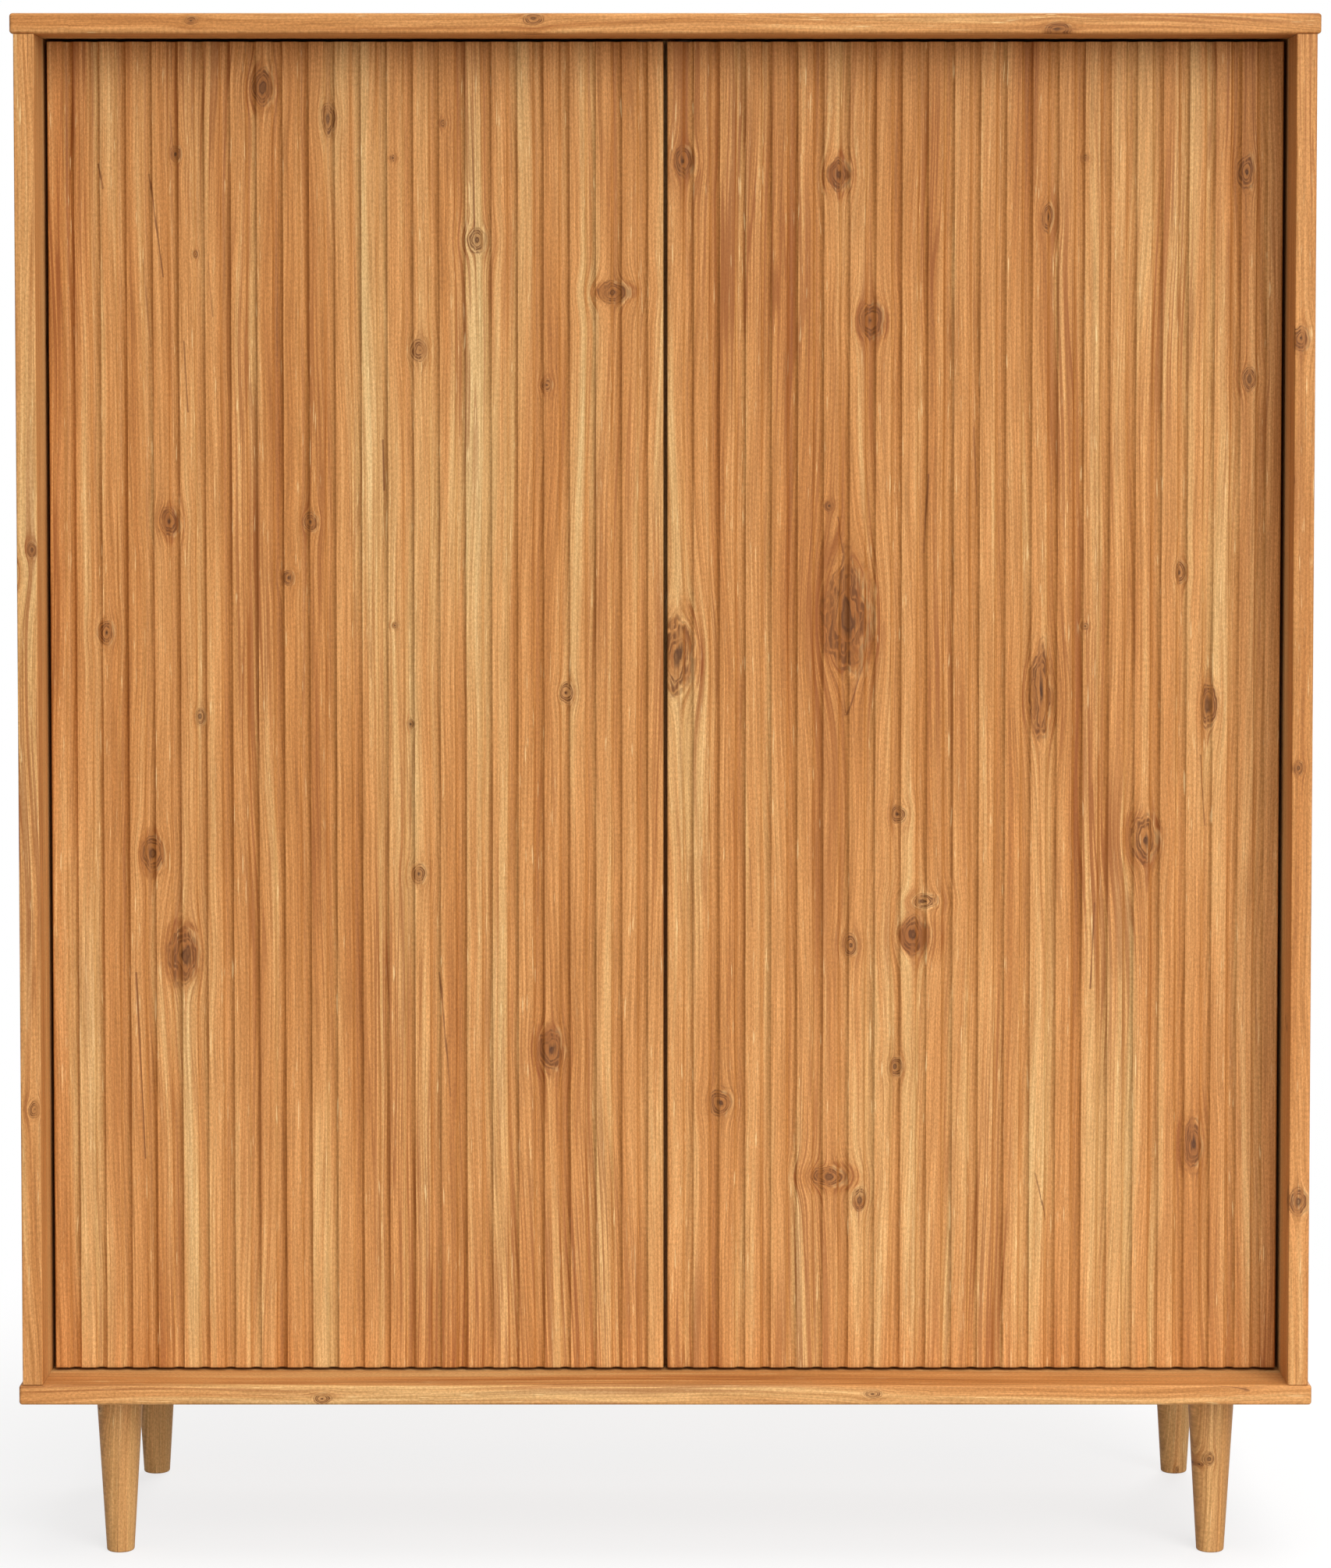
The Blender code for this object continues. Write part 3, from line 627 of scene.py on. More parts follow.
# Dark lines and threads, pale flecks and cracks
LINE_GROUP_SPAN = (0.56, 0.70)
LINE_SPAN = (0.53, 0.62)
LINE_IN_ZONE = (-0.12, -0.03, 1.0, 0.0)
LINE_STRENGTH = 0.55
THREAD_LEVELS = 3.0
THREAD_SPAN = (0.03, 0.11, 1.0, 0.0)
THREAD_IN_GROUP = 0.45
THREAD_IN_RINGS = 0.8
FLECK_SPAN = (0.70, 0.80)
FLECK_IN_STREAK = (0.45, 0.62, 0.0, 0.6)
CRACK_WAVE = 0.0018
CRACK_WIDTH = (0.0001, 0.0010, 1.0, 0.0)
CRACK_GAPS = (0.3, 0.55, 0.45, 1.0)
FREE_CRACK_WIDTH = (0.001, 0.006, 1.0, 0.0)
FREE_CRACK_GAPS = (0.62, 0.72)
CRACK_STRENGTH = 0.78

# Knots: how far noise bends their outline, then spans of the distance from the middle, in radii
KNOT_BEND = 1.0
KNOT_BEND_FAR = 1.8
HALO_SPAN = (0.2, 1.7, 0.52, 0.0)
KNOT_RING_TURN = 13.0
KNOT_RING_LINE = (0.35, 0.95)
KNOT_RING_GAPS = (0.36, 0.60, 0.35, 1.0)
KNOT_RING_SPAN = (0.8, 1.7, 0.90, 0.0)
PALE_PLACE = 1.15
PALE_SPAN = (0.05, 0.30, 0.32, 0.0)
PALE_SIDE = (0.0, -0.0025)
PALE_GAPS = (0.40, 0.60)
OUTLINE_PLACE = 0.82
OUTLINE_SPAN = (0.03, 0.16, 0.90, 0.0)
OUTLINE_GAPS = (0.40, 0.55, 0.25, 1.0)
CORE_FEATHER = 0.9
CORE_SPAN = (0.50, 0.90, 0.92, 0.0)
CORE_GAPS = (0.38, 0.60, 0.60, 1.0)

# Relief and gloss
FIBRE_RELIEF = 0.5
FINE_RELIEF = 0.35
RING_RELIEF = 0.12
CRACK_RELIEF = 0.8
CORE_RELIEF = 0.5
GLOSS = 0.44
FIBRE_GLOSS = 0.18
BROAD_GLOSS = 0.10
WOOD_SPECULAR = {"Specular IOR Level": 0.25}
WOOD_BUMP = (0.35, 0.0003)


def wood_material(
    name, grain, skew, knots=(), scatter=None, seed=0.0, ribs=None, cracks=(), zones=(),
    lighter=0.0, contrast=1.0,
):
    """Knotty pine: bands of colour, growth lines that part round the knots, fibres, dark streaks,
    pale flecks and fine cracks."""
    tree = new_tree(name)
    point = grain_point(tree, grain, skew)
    nearness, push = knot_field(tree, point, knots, scatter)
    across, along, _ = tree.apart(point)
    seeded = (seed, seed * SEED_ALONG, 0.0)
    shifted = tree.vector("ADD", point, seeded)
    wander = tree.pattern(shifted, *WANDER)
    wander = tree.fused(wander, WANDER_REACH, -WANDER_REACH / 2)
    flowing = tree.plus(tree.plus(across, push), wander)
    flow = tree.vector("ADD", tree.together(flowing, along), seeded)

    # Broad bands and streaks of colour
    broad = tree.pattern(flow, *BROAD)
    streak = tree.pattern(flow, *STREAK)
    fine = tree.pattern(flow, *FINE)
    tone = tree.fused(streak, STREAK_SHARE, tree.times(broad, BROAD_SHARE))
    tone = tree.fused(fine, FINE_SHARE, tone)
    if ribs:
        x, y, _ = tree.apart(tree.place())
        tone = tree.plus(tone, rib_step(tree, x, along, ribs[0]))
    if contrast != 1:
        tone = tree.fused(tree.minus(tone, MIDDLE_TONE), contrast, MIDDLE_TONE)
    shift = placed_zones(tree, tree.together(flowing, along), zones) if zones else 0.0
    tone = tree.plus(tone, lighter)
    tone = tree.plus(tone, tree.times(shift, ZONE_SHARE))
    colour = tree.ramp(tone, TONES)

    # Growth lines, closer and darker near the knots
    turn = tree.times(tree.fused(broad, RING_BEND, flowing), 2 * math.pi / RING_PITCH)
    rings = tree.span(tree.math("SINE", turn), *RING_LINE)
    near = tree.span(nearness, *RING_NEAR_KNOT)
    visible = tree.span(tree.pattern(shifted, *RING_GROUPS), *RING_VISIBLE)
    visible = tree.fused(near, RING_AT_KNOT, visible, clamp=True)
    colour = tree.mix(tree.times(rings, visible), colour, RING_COLOUR)

    # Fibres
    fibre = tree.pattern(flow, *FIBRE)
    shade = tree.fused(fine, 0.5, tree.times(fibre, 0.5))
    shade = tree.span(shade, *FIBRE_SHADE, smooth=False)
    speckle = tree.span(tree.pattern(shifted, *SPECKLE), *SPECKLE_SHADE, smooth=False)
    shade = tree.times(shade, speckle)
    # Painted shade in the grooves and along their rims, multiplied into the fibre shade
    if ribs:
        shade = tree.times(shade, painted_groove_shade(tree, x, y, *ribs))
    red, blue = tree.math("POWER", shade, RED_POWER), tree.math("POWER", shade, BLUE_POWER)
    colour = tree.mix(1.0, colour, tree.together(red, shade, blue), "MULTIPLY")

    # Groups of thin dark lines, pale flecks and fine cracks
    dark = dark_lines(tree, shifted, flow, visible, shift if zones else None)
    colour = tree.mix(tree.times(dark, contrast), colour, DARK_LINE)
    fleck = tree.span(tree.pattern(shifted, *FLECKS), *FLECK_SPAN)
    fleck = tree.times(fleck, tree.span(streak, *FLECK_IN_STREAK))
    colour = tree.mix(fleck, colour, PALE_FLECK)
    crack = crack_lines(tree, shifted, fine, across, along, cracks)
    colour = tree.mix(tree.times(crack, CRACK_STRENGTH), colour, CRACK_COLOUR)
    colour, core = draw_knots(tree, colour, shifted, nearness, push)

    # Relief and gloss
    height = tree.fused(fibre, FIBRE_RELIEF, tree.times(fine, FINE_RELIEF))
    for part, depth in ((rings, RING_RELIEF), (crack, CRACK_RELIEF), (core, CORE_RELIEF)):
        height = tree.minus(height, tree.times(part, depth))
    gloss = tree.fused(broad, BROAD_GLOSS, tree.fused(fibre, FIBRE_GLOSS, GLOSS))
    return close_material(tree, colour, gloss, height, WOOD_SPECULAR, *WOOD_BUMP)


def knot_field(tree, point, knots, scatter):
    """How near the placed and the scattered knots are, and how far they push the grain across."""
    if knots:
        nearness, push = placed_knots(tree, point, knots)
    if scatter:
        more, more_push = scattered_knots(tree, point, *scatter)
        nearness = tree.most(nearness, more) if knots else more
        push = tree.vector("ADD", push, more_push) if knots else more_push
    push_across, _, _ = tree.apart(push)
    push_across = tree.most(push_across, -MOST_PUSH)
    return nearness, tree.math("MINIMUM", push_across, MOST_PUSH)


def rib_step(tree, x, along, first):
    """The shift of tone of each rib, which changes at the right rim of a groove."""
    start = first + SCOOP_WIDTH / 2
    rib = tree.math("DIVIDE", tree.minus(x, start), SCOOP_PITCH)
    across = tree.times(tree.math("FLOOR", rib), RIB_CHANGE)
    step = tree.noise(tree.together(across, tree.times(along, RIB_WAVES)), 0.0)
    return tree.fused(step, RIB_STEP, -RIB_STEP / 2)


def painted_groove_shade(tree, x, y, first, front):
    """Painted shade in the grooves, darker still along their rims, standing in for the shade of the
    ribs; faces deeper than the grooves keep none.
    """
    turn = tree.math("DIVIDE", tree.minus(x, first), SCOOP_PITCH)
    turn = tree.math("FRACT", tree.plus(turn, 0.5))
    off, half = tree.distance(turn, 0.5), SCOOP_WIDTH / 2 / SCOOP_PITCH
    inside = tree.span(off, half - GROOVE_FADE_IN, half + GROOVE_FADE_OUT, GROOVE_PAINTED_SHADE, 1.0)
    rim = tree.span(tree.distance(off, half), 0.0, RIM_FADE, RIM_PAINTED_SHADE, 1.0)
    behind = tree.math("GREATER_THAN", y, front + SCOOP_DEPTH + BEHIND_GROOVE)
    return tree.most(tree.times(inside, rim), behind)


def dark_lines(tree, shifted, flow, visible, shift):
    """Thin dark lines in groups and in darker zones, and hairlines between the growth lines."""
    group = tree.span(tree.pattern(shifted, *LINE_GROUPS), *LINE_GROUP_SPAN)
    lines = tree.span(tree.pattern(flow, *LINES), *LINE_SPAN)
    if shift is not None:
        group = tree.most(group, tree.span(shift, *LINE_IN_ZONE))
    levels = tree.times(tree.pattern(flow, *THREADS), THREAD_LEVELS)
    thread = tree.span(tree.distance(tree.math("FRACT", levels), 0.5), *THREAD_SPAN)
    strength = tree.fused(group, THREAD_IN_GROUP, tree.times(visible, THREAD_IN_RINGS))
    thread = tree.times(thread, strength)
    dark = tree.times(group, tree.times(lines, LINE_STRENGTH))
    return tree.most(dark, thread)


def crack_lines(tree, shifted, fine, across, along, cracks):
    """The placed cracks, or on other boards some that lie at random."""
    breaks = tree.pattern(shifted, *CRACK_BREAKS)
    if cracks:
        wavy = tree.together(tree.fused(fine, CRACK_WAVE, across), along)
        line = tree.span(placed_cracks(tree, wavy, cracks), *CRACK_WIDTH)
        return tree.times(line, tree.span(breaks, *CRACK_GAPS))
    contour = tree.distance(tree.pattern(shifted, *CRACK_CONTOURS), 0.5)
    line = tree.span(contour, *FREE_CRACK_WIDTH)
    return tree.times(line, tree.span(breaks, *FREE_CRACK_GAPS))


def draw_knots(tree, colour, shifted, nearness, push):
    """Knots: a feathered patch, thin broken rings, a pale side, an outline and a dark core."""
    radius = tree.math("POWER", nearness, -0.5)
    soft = tree.pattern(shifted, *KNOT_SOFT)
    feather = tree.pattern(shifted, *KNOT_FEATHER)
    bent = tree.plus(radius, tree.fused(soft, KNOT_BEND, -KNOT_BEND / 2))
    far = tree.plus(bent, tree.fused(feather, KNOT_BEND_FAR, -KNOT_BEND_FAR / 2))
    colour = tree.mix(tree.span(far, *HALO_SPAN), colour, KNOT_HALO)
    wave = tree.span(tree.math("SINE", tree.times(bent, KNOT_RING_TURN)), *KNOT_RING_LINE)
    wave = tree.times(wave, tree.span(feather, *KNOT_RING_GAPS))
    wave = tree.times(wave, tree.span(radius, *KNOT_RING_SPAN))
    colour = tree.mix(wave, colour, KNOT_RING)
    side = tree.times(tree.span(push, *PALE_SIDE), tree.span(feather, *PALE_GAPS))
    pale = tree.span(tree.distance(bent, PALE_PLACE), *PALE_SPAN)
    colour = tree.mix(tree.times(pale, side), colour, LIGHT_WOOD)
    outline = tree.span(tree.distance(bent, OUTLINE_PLACE), *OUTLINE_SPAN)
    outline = tree.times(outline, tree.span(feather, *OUTLINE_GAPS))
    colour = tree.mix(outline, colour, KNOT_RING)
    core = tree.span(tree.fused(feather, CORE_FEATHER, bent), *CORE_SPAN)
    core = tree.times(core, tree.span(soft, *CORE_GAPS))
    return tree.mix(core, colour, KNOT_DARK), core


# Knots seen in the photograph: column, row, radius in pixels, length against width
LEFT_DOOR_KNOTS = [
    (341, 108, 13, 1.6), (425, 147, 9, 2.0), (230, 192, 6, 1.6), (506, 197, 4, 1.0),
    (570, 153, 4, 1.2), (613, 302, 12, 1.2), (786, 368, 18, 0.7), (540, 442, 10, 1.3),
    (255, 319, 4, 1.3), (219, 660, 12, 1.3), (399, 660, 8, 1.5), (371, 732, 7, 1.3),
    (138, 802, 9, 1.5), (727, 880, 9, 1.3), (258, 910, 6, 1.6), (528, 920, 4, 1.6),
    (507, 793, 4, 1.0), (196, 1087, 13, 1.6), (537, 1112, 9, 1.3), (234, 1218, 17, 1.9),
    (706, 1338, 14, 1.7), (702, 486, 6, 1.2), (240, 1212, 8, 3.2),
]
RIGHT_DOOR_KNOTS = [
    (876, 202, 12, 1.4), (1074, 218, 13, 1.4), (1341, 272, 8, 2.2), (1593, 216, 10, 1.9),
    (1388, 197, 4, 1.2), (1116, 404, 14, 1.5), (1598, 478, 9, 1.5), (1512, 726, 7, 1.8),
    (1062, 640, 5, 1.2), (1086, 785, 26, 2.4), (1390, 794, 4, 1.0), (868, 832, 20, 2.1),
    (1334, 888, 14, 2.2), (1549, 898, 9, 3.0), (1468, 1068, 16, 1.8), (1186, 1148, 15, 0.6),
    (1172, 1192, 17, 1.3), (1091, 1204, 9, 1.4), (1152, 1036, 9, 1.2), (1150, 1362, 8, 1.3),
    (924, 1408, 13, 1.2), (1533, 1462, 11, 2.6), (1064, 1504, 20, 0.6), (1103, 1534, 9, 1.5),
    (1086, 770, 13, 4.6), (872, 830, 11, 3.4), (1334, 880, 12, 4.6),
]
# Cracks: column and row of the upper and of the lower end
LEFT_DOOR_CRACKS = [
    (133, 205, 138, 236), (189, 326, 199, 437), (198, 218, 214, 348), (225, 143, 229, 183),
    (607, 120, 611, 290), (272, 330, 277, 398), (495, 556, 496, 620), (175, 1240, 185, 1480),
    (565, 1240, 578, 1400), (240, 430, 245, 520),
]
RIGHT_DOOR_CRACKS = [
    (1075, 655, 1083, 700), (962, 1080, 966, 1180), (1250, 540, 1254, 640),
    (1405, 1150, 1400, 1260), (1540, 960, 1548, 1050), (1190, 600, 1186, 700),
    (1330, 1500, 1345, 1560), (1080, 840, 1087, 905), (1068, 850, 1086, 908),
    (1106, 846, 1088, 908),
]
# Darker (negative) and lighter places: column, row, half their width and height in pixels, amount
LEFT_DOOR_ZONES = [
    (322, 520, 26, 520, -0.09), (404, 760, 26, 760, -0.11), (345, 380, 16, 240, 0.12),
    (487, 420, 40, 420, 0.07), (640, 480, 52, 300, 0.08), (818, 420, 36, 420, 0.08),
    (112, 1080, 30, 480, 0.09), (720, 1180, 60, 420, -0.05), (230, 1290, 42, 110, 0.10),
    (580, 1340, 34, 400, 0.06), (85, 330, 30, 330, -0.06), (330, 1400, 40, 340, -0.06),
    (234, 1216, 26, 58, -0.24), (197, 1086, 18, 42, -0.24), (341, 108, 20, 44, -0.21),
    (219, 662, 16, 36, -0.20), (707, 1340, 18, 44, -0.17), (786, 366, 34, 16, -0.20),
]
RIGHT_DOOR_ZONES = [
    (872, 420, 26, 420, 0.08), (980, 620, 34, 560, -0.07), (1064, 900, 44, 820, -0.09),
    (1184, 250, 26, 240, -0.12), (1122, 230, 18, 220, 0.09), (1270, 700, 60, 560, 0.06),
    (1372, 330, 30, 260, 0.10), (1500, 1050, 60, 420, -0.04), (1030, 1560, 46, 240, -0.09),
    (1420, 1350, 60, 420, 0.06), (1618, 600, 24, 560, -0.07), (1186, 1180, 34, 130, 0.08),
    (1094, 786, 26, 80, -0.27), (868, 818, 22, 74, -0.24), (1334, 880, 20, 76, -0.24),
    (1074, 218, 18, 40, -0.22), (1116, 404, 20, 42, -0.18), (1468, 1068, 28, 44, -0.22),
    (1549, 902, 13, 60, -0.22), (1064, 1506, 44, 26, -0.24), (1178, 1196, 34, 44, -0.18),
    (1533, 1462, 15, 50, -0.18),
]
TOP_EDGE_KNOTS = [(685, 25, 6, 2.0), (1350, 38, 6, 2.6), (250, 28, 4, 2.0)]
BOTTOM_EDGE_KNOTS = [(410, 1796, 5, 2.2), (1120, 1790, 4, 2.6)]
SIDE_EDGE_KNOTS = [
    (1662, 430, 9, 1.6), (1668, 1540, 9, 1.8), (1664, 980, 5, 1.6), (44, 700, 5, 1.8),
    (42, 1420, 6, 1.8),
]
LEG_KNOTS = [(1556, 1872, 6, 1.3), (1548, 1880, 3, 1.0)]
LEG_KNOT_FORWARD = 0.85

# How far the grain moves sideways for each metre through the wood
DOOR_SKEW = 0.4
BOARD_SKEW = 0.83
LEG_SKEW = 0.6


def wood_place(column, row, y, grain, skew):
    """Across and along the grain, of a pixel of the photograph at the depth y."""
    x, z = photo_place(column, row, y - front_y)
    point, (across, through, along) = (x, y, z), GRAINS[grain]
    return point[across] + skew * point[through], point[along]


def wood_knots(places, y, grain, skew):
    scale = photo_scale(y - front_y)
    return [
        (*wood_place(*place, y, grain, skew), radius * scale, stretch)
        for *place, radius, stretch in places
    ]


def door_woods(name, knots, cracks, zones, seed):
    """The wood of a door, one material for each band, from the bottom up."""
    low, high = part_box(name)
    band = (high.z - low.z) / DOOR_BANDS
    ribs = (first_scoop(low, high), low.y)
    wood, scale = (door_front, "up", DOOR_SKEW), photo_scale(door_depth)
    knots = wood_knots(knots, *wood)
    cracks = [(wood_place(*crack[:2], *wood), wood_place(*crack[2:], *wood)) for crack in cracks]
    zones = [
        (*wood_place(*place, *wood), half_width * scale, half_height * scale, amount)
        for *place, half_width, half_height, amount in zones
    ]
    woods = []
    for number in range(DOOR_BANDS):
        level = low.z + (number + 0.5) * band

        def reached(middle, reach):
            return abs(middle - level) < band / 2 + reach

        near = [knot for knot in knots if reached(knot[1], KNOT_REACH * knot[2] * knot[3])]
        split = [(a, b) for a, b in cracks if reached((a[1] + b[1]) / 2, (a[1] - b[1]) / 2)]
        toned = [zone for zone in zones if reached(zone[1], zone[3])]
        seen = (near, None, seed, ribs, split, toned)
        woods.append(wood_material(f"{name}_wood_{number + 1}", "up", DOOR_SKEW, *seen))
    return woods


def dress(names, material):
    """A better material on CAD nodes that keep their shape."""
    for name in names:
        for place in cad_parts[name].material_slots:
            place.material = material


# Metal, plastic and fibreboard

# Colour, worn colour, roughness
HINGE_STEEL = (tint(196, 194, 190), tint(150, 146, 140), 0.26)
PIN_STEEL = (tint(206, 205, 202), tint(160, 158, 154), 0.22)
BOLT_STEEL = (tint(186, 180, 160), tint(130, 122, 104), 0.34)
PLASTIC = tint(128, 116, 102)
PLASTIC_LIGHTER = tint(146, 134, 120)
PLASTIC_PITS = tint(102, 92, 82)
FIBRE_DARK = tint(126, 88, 56)
FIBRE_LIGHT = tint(158, 116, 78)
FIBRE_PALE = tint(176, 136, 96)
FIBRE_FLECK = tint(92, 60, 38)

# Waves to a metre and detail
DRAWN = ((900.0, 220.0, 2400.0), 2.0)
PATCHES = (190.0, 3.0)
PITS = (2600.0, 2.0)
PLASTIC_CLOUDS = (120.0, 2.0)
BOARD_FIBRES = ((260.0, 260.0, 420.0), 4.0)
BOARD_MOTTLE = (22.0, 3.0)
BOARD_FLECKS = ((700.0, 700.0, 240.0), 1.0)
PRINT_GRAIN = (90.0, 1.8, 3.0, 0.65)
PRINT_LINES = (900.0, 12.0, 2.0, 0.6)

# Spans: low and high of the pattern, and what they become
WORN_SPAN = (0.56, 0.70)
WORN_STRENGTH = 0.5
DRAWN_SPAN = (0.35, 0.65, 0.0, 0.22)
DRAWN_GLOSS = (0.3, 0.7)
DRAWN_ROUGHER = 0.10
WORN_ROUGHER = 0.12
STEEL_BUMP = (0.15, 0.0001)
CLOUD_SPAN = (0.35, 0.65)
PIT_SPAN = (0.58, 0.72, 0.0, 0.35)
PLASTIC_ROUGHNESS = (0.3, 0.7, 0.42, 0.58)
PLASTIC_BUMP = (0.25, 0.0001)
MOTTLE_SPAN = (0.4, 0.7, 0.0, 0.14)
BOARD_FLECK_SPAN = (0.66, 0.74, 0.0, 0.6)
PRINT_LINE_SHARE = 0.4
PRINT_LINE_RELIEF = 0.3
BOARD_ROUGHNESS = (0.3, 0.7, 0.55, 0.75)
BOARD_SPECULAR = {"Specular IOR Level": 0.3}
BOARD_BUMP = (0.3, 0.0003)


def metal_material(name, base, worn, roughness):
    """Plated steel: a faint drawn grain, dull patches and darker marks."""
    tree = new_tree(name)
    point = tree.place()
    drawn = tree.cloud(point, *DRAWN)
    marks = tree.span(tree.cloud(point, *PATCHES), *WORN_SPAN)
    colour = tree.mix(tree.times(marks, WORN_STRENGTH), base, worn)
    colour = tree.mix(tree.span(drawn, *DRAWN_SPAN), colour, worn)
    gloss = tree.span(drawn, *DRAWN_GLOSS, roughness, roughness + DRAWN_ROUGHER)
    gloss = tree.plus(gloss, tree.times(marks, WORN_ROUGHER))
    return close_material(tree, colour, gloss, drawn, {"Metallic": 1.0}, *STEEL_BUMP)


def plastic_material(name):
    """Moulded grey-brown plastic with a fine eroded surface."""
    tree = new_tree(name)
    point = tree.place()
    pits = tree.cloud(point, *PITS)
    cloud = tree.cloud(point, *PLASTIC_CLOUDS)
    colour = tree.mix(tree.span(cloud, *CLOUD_SPAN), PLASTIC, PLASTIC_LIGHTER)
    colour = tree.mix(tree.span(pits, *PIT_SPAN), colour, PLASTIC_PITS)
    gloss = tree.span(cloud, *PLASTIC_ROUGHNESS)
    return close_material(tree, colour, gloss, pits, {}, *PLASTIC_BUMP)


def back_board_material(name, split):
    """Thin fibreboard: raw and mottled on its rear, and with a wood print on its front."""
    tree = new_tree(name)
    point = tree.place()
    across, depth, up = tree.apart(point)
    fibres = tree.cloud(point, *BOARD_FIBRES)
    raw = tree.mix(tree.span(fibres, *CLOUD_SPAN), FIBRE_DARK, FIBRE_LIGHT)
    mottle = tree.span(tree.cloud(point, *BOARD_MOTTLE), *MOTTLE_SPAN)
    raw = tree.mix(mottle, raw, FIBRE_PALE)
    flecks = tree.span(tree.cloud(point, *BOARD_FLECKS), *BOARD_FLECK_SPAN)
    raw = tree.mix(flecks, raw, FIBRE_FLECK)
    flat = tree.together(across, up)
    grain = tree.pattern(flat, *PRINT_GRAIN)
    lines = tree.pattern(flat, *PRINT_LINES)
    tone = tree.times(grain, 1 - PRINT_LINE_SHARE)
    printed = tree.ramp(tree.fused(lines, PRINT_LINE_SHARE, tone), TONES)
    rear = tree.math("GREATER_THAN", depth, split)
    colour = tree.mix(rear, printed, raw)
    height = tree.times(lines, PRINT_LINE_RELIEF)
    height = tree.fused(fibres, rear, height)
    gloss = tree.span(fibres, *BOARD_ROUGHNESS)
    return close_material(tree, colour, gloss, height, BOARD_SPECULAR, *BOARD_BUMP)


# Screws, with their places from the middle of a hinge and from its plate and pin

SCREW_RADIUS = 0.0037
SCREW_HEIGHT = 0.0006
SCREW_SIDES = 28
SCREW_WALL = 0.45
SCREW_TOP = 0.86
CROSS_HALF_LENGTH = 0.0021
CROSS_HALF_WIDTH = 0.00045
CROSS_DEPTH = 0.0005
CROSS_FLOOR = 0.8
CUP_SCREW_LEVEL = 0.02475
PLATE_SCREW_LEVEL = 0.0175
PLATE_SCREW_FACE = 0.0036
ARM_SCREW_PLACES = (0.0335, 0.063)
ARM_SCREW_FACE = 0.0099
HINGE_PLATE_START = 0.030


def add_screw(shape, seat, outward):
    """A pan head with a cross recess, closed, its underside at seat and its top turned outward."""
    turn = Vector(outward).to_track_quat("Z", "Y")

    def at(x, y, z):
        return shape.verts.new(Vector(seat) + turn @ Vector((x, y, z)))

    def ring(radius, height):
        return [at(radius * x, radius * y, height) for x, y in circle(SCREW_SIDES)]

    foot, wall = ring(SCREW_RADIUS, 0), ring(SCREW_RADIUS, SCREW_HEIGHT * SCREW_WALL)
    top = ring(SCREW_RADIUS * SCREW_TOP, SCREW_HEIGHT)
    join(shape, foot, wall)
    join(shape, wall, top)
    shape.faces.new(foot[::-1])
    arm, half = CROSS_HALF_LENGTH, CROSS_HALF_WIDTH
    cross = [(arm, -half), (arm, half), (half, half), (half, arm), (-half, arm), (-half, half)]
    cross += [(-x, -y) for x, y in cross]
    mouth = [at(x, y, SCREW_HEIGHT) for x, y in cross]
    bottom = SCREW_HEIGHT - CROSS_DEPTH
    floor = [at(x * CROSS_FLOOR, y * CROSS_FLOOR, bottom) for x, y in cross]
    join(shape, mouth, floor)
    shape.faces.new(floor)
    fill(shape, loop_edges(shape, top) + loop_edges(shape, mouth))


def add_hinge_screws(side, sign, material):
    """Cross-recessed heads on the hinges of one door: on its cups, and on the plates and arms."""
    on_leaf, on_carcass = bmesh.new(), bmesh.new()
    for place in LEVELS:
        cup_low, cup_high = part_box(f"{side}_hinge_{place}_cup")
        plate_low, plate_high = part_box(f"{side}_hinge_{place}_plate")
        level = (cup_low.z + cup_high.z) / 2
        across = (cup_low.x + cup_high.x) / 2
        wall = plate_low.x if sign < 0 else plate_high.x
        middle = (plate_low.y + plate_high.y) / 2
        pin_y = plate_low.y - HINGE_PLATE_START
        for end in (-1, 1):
            add_screw(on_leaf, (across, cup_high.y, level + end * CUP_SCREW_LEVEL), (0, 1, 0))
            face = wall - sign * PLATE_SCREW_FACE
            add_screw(on_carcass, (face, middle, level + end * PLATE_SCREW_LEVEL), (-sign, 0, 0))
        face = wall - sign * ARM_SCREW_FACE
        for back in ARM_SCREW_PLACES:
            add_screw(on_carcass, (face, pin_y + back, level), (-sign, 0, 0))
    for name, shape, body in (
        (f"{side}_cup_screws", on_leaf, f"{side}_door_leaf"),
        (f"{side}_plate_screws", on_carcass, "carcass"),
    ):
        add_object(name, finish_mesh(shape, name), material, body, ())


STRIKE_HALF_WIDTH = 0.0055
STRIKE_HALF_HEIGHT = 0.004
STRIKE_THICKNESS = 0.0002
STRIKE_SIDES = 32
STRIKE_SQUARENESS = 0.5
STRIKE_WALL = 0.6
STRIKE_TOP = 0.95


def add_strike(side, material):
    """The thin steel plate on the door's rear that the latch plunger meets."""
    low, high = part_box(f"{side}_latch_plunger")
    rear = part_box(f"{side}_door")[1].y
    middle = (low + high) / 2
    shape = bmesh.new()
    outline = [
        [math.copysign(abs(part) ** STRIKE_SQUARENESS, part) for part in point]
        for point in circle(STRIKE_SIDES)
    ]
    rings = []
    for depth, size in ((0, 1), (STRIKE_WALL, 1), (1, STRIKE_TOP)):
        half_width, half_height = STRIKE_HALF_WIDTH * size, STRIKE_HALF_HEIGHT * size
        y = rear + STRIKE_THICKNESS * depth
        points = [(middle.x + x * half_width, y, middle.z + z * half_height) for x, z in outline]
        rings.append([shape.verts.new(point) for point in points])
    join(shape, rings[0], rings[1])
    join(shape, rings[1], rings[2])
    shape.faces.new(rings[0][::-1])
    shape.faces.new(rings[-1])
    name = f"{side}_strike_plate"
    add_object(name, finish_mesh(shape, name), material, f"{side}_door_leaf", ())


# Floor and light

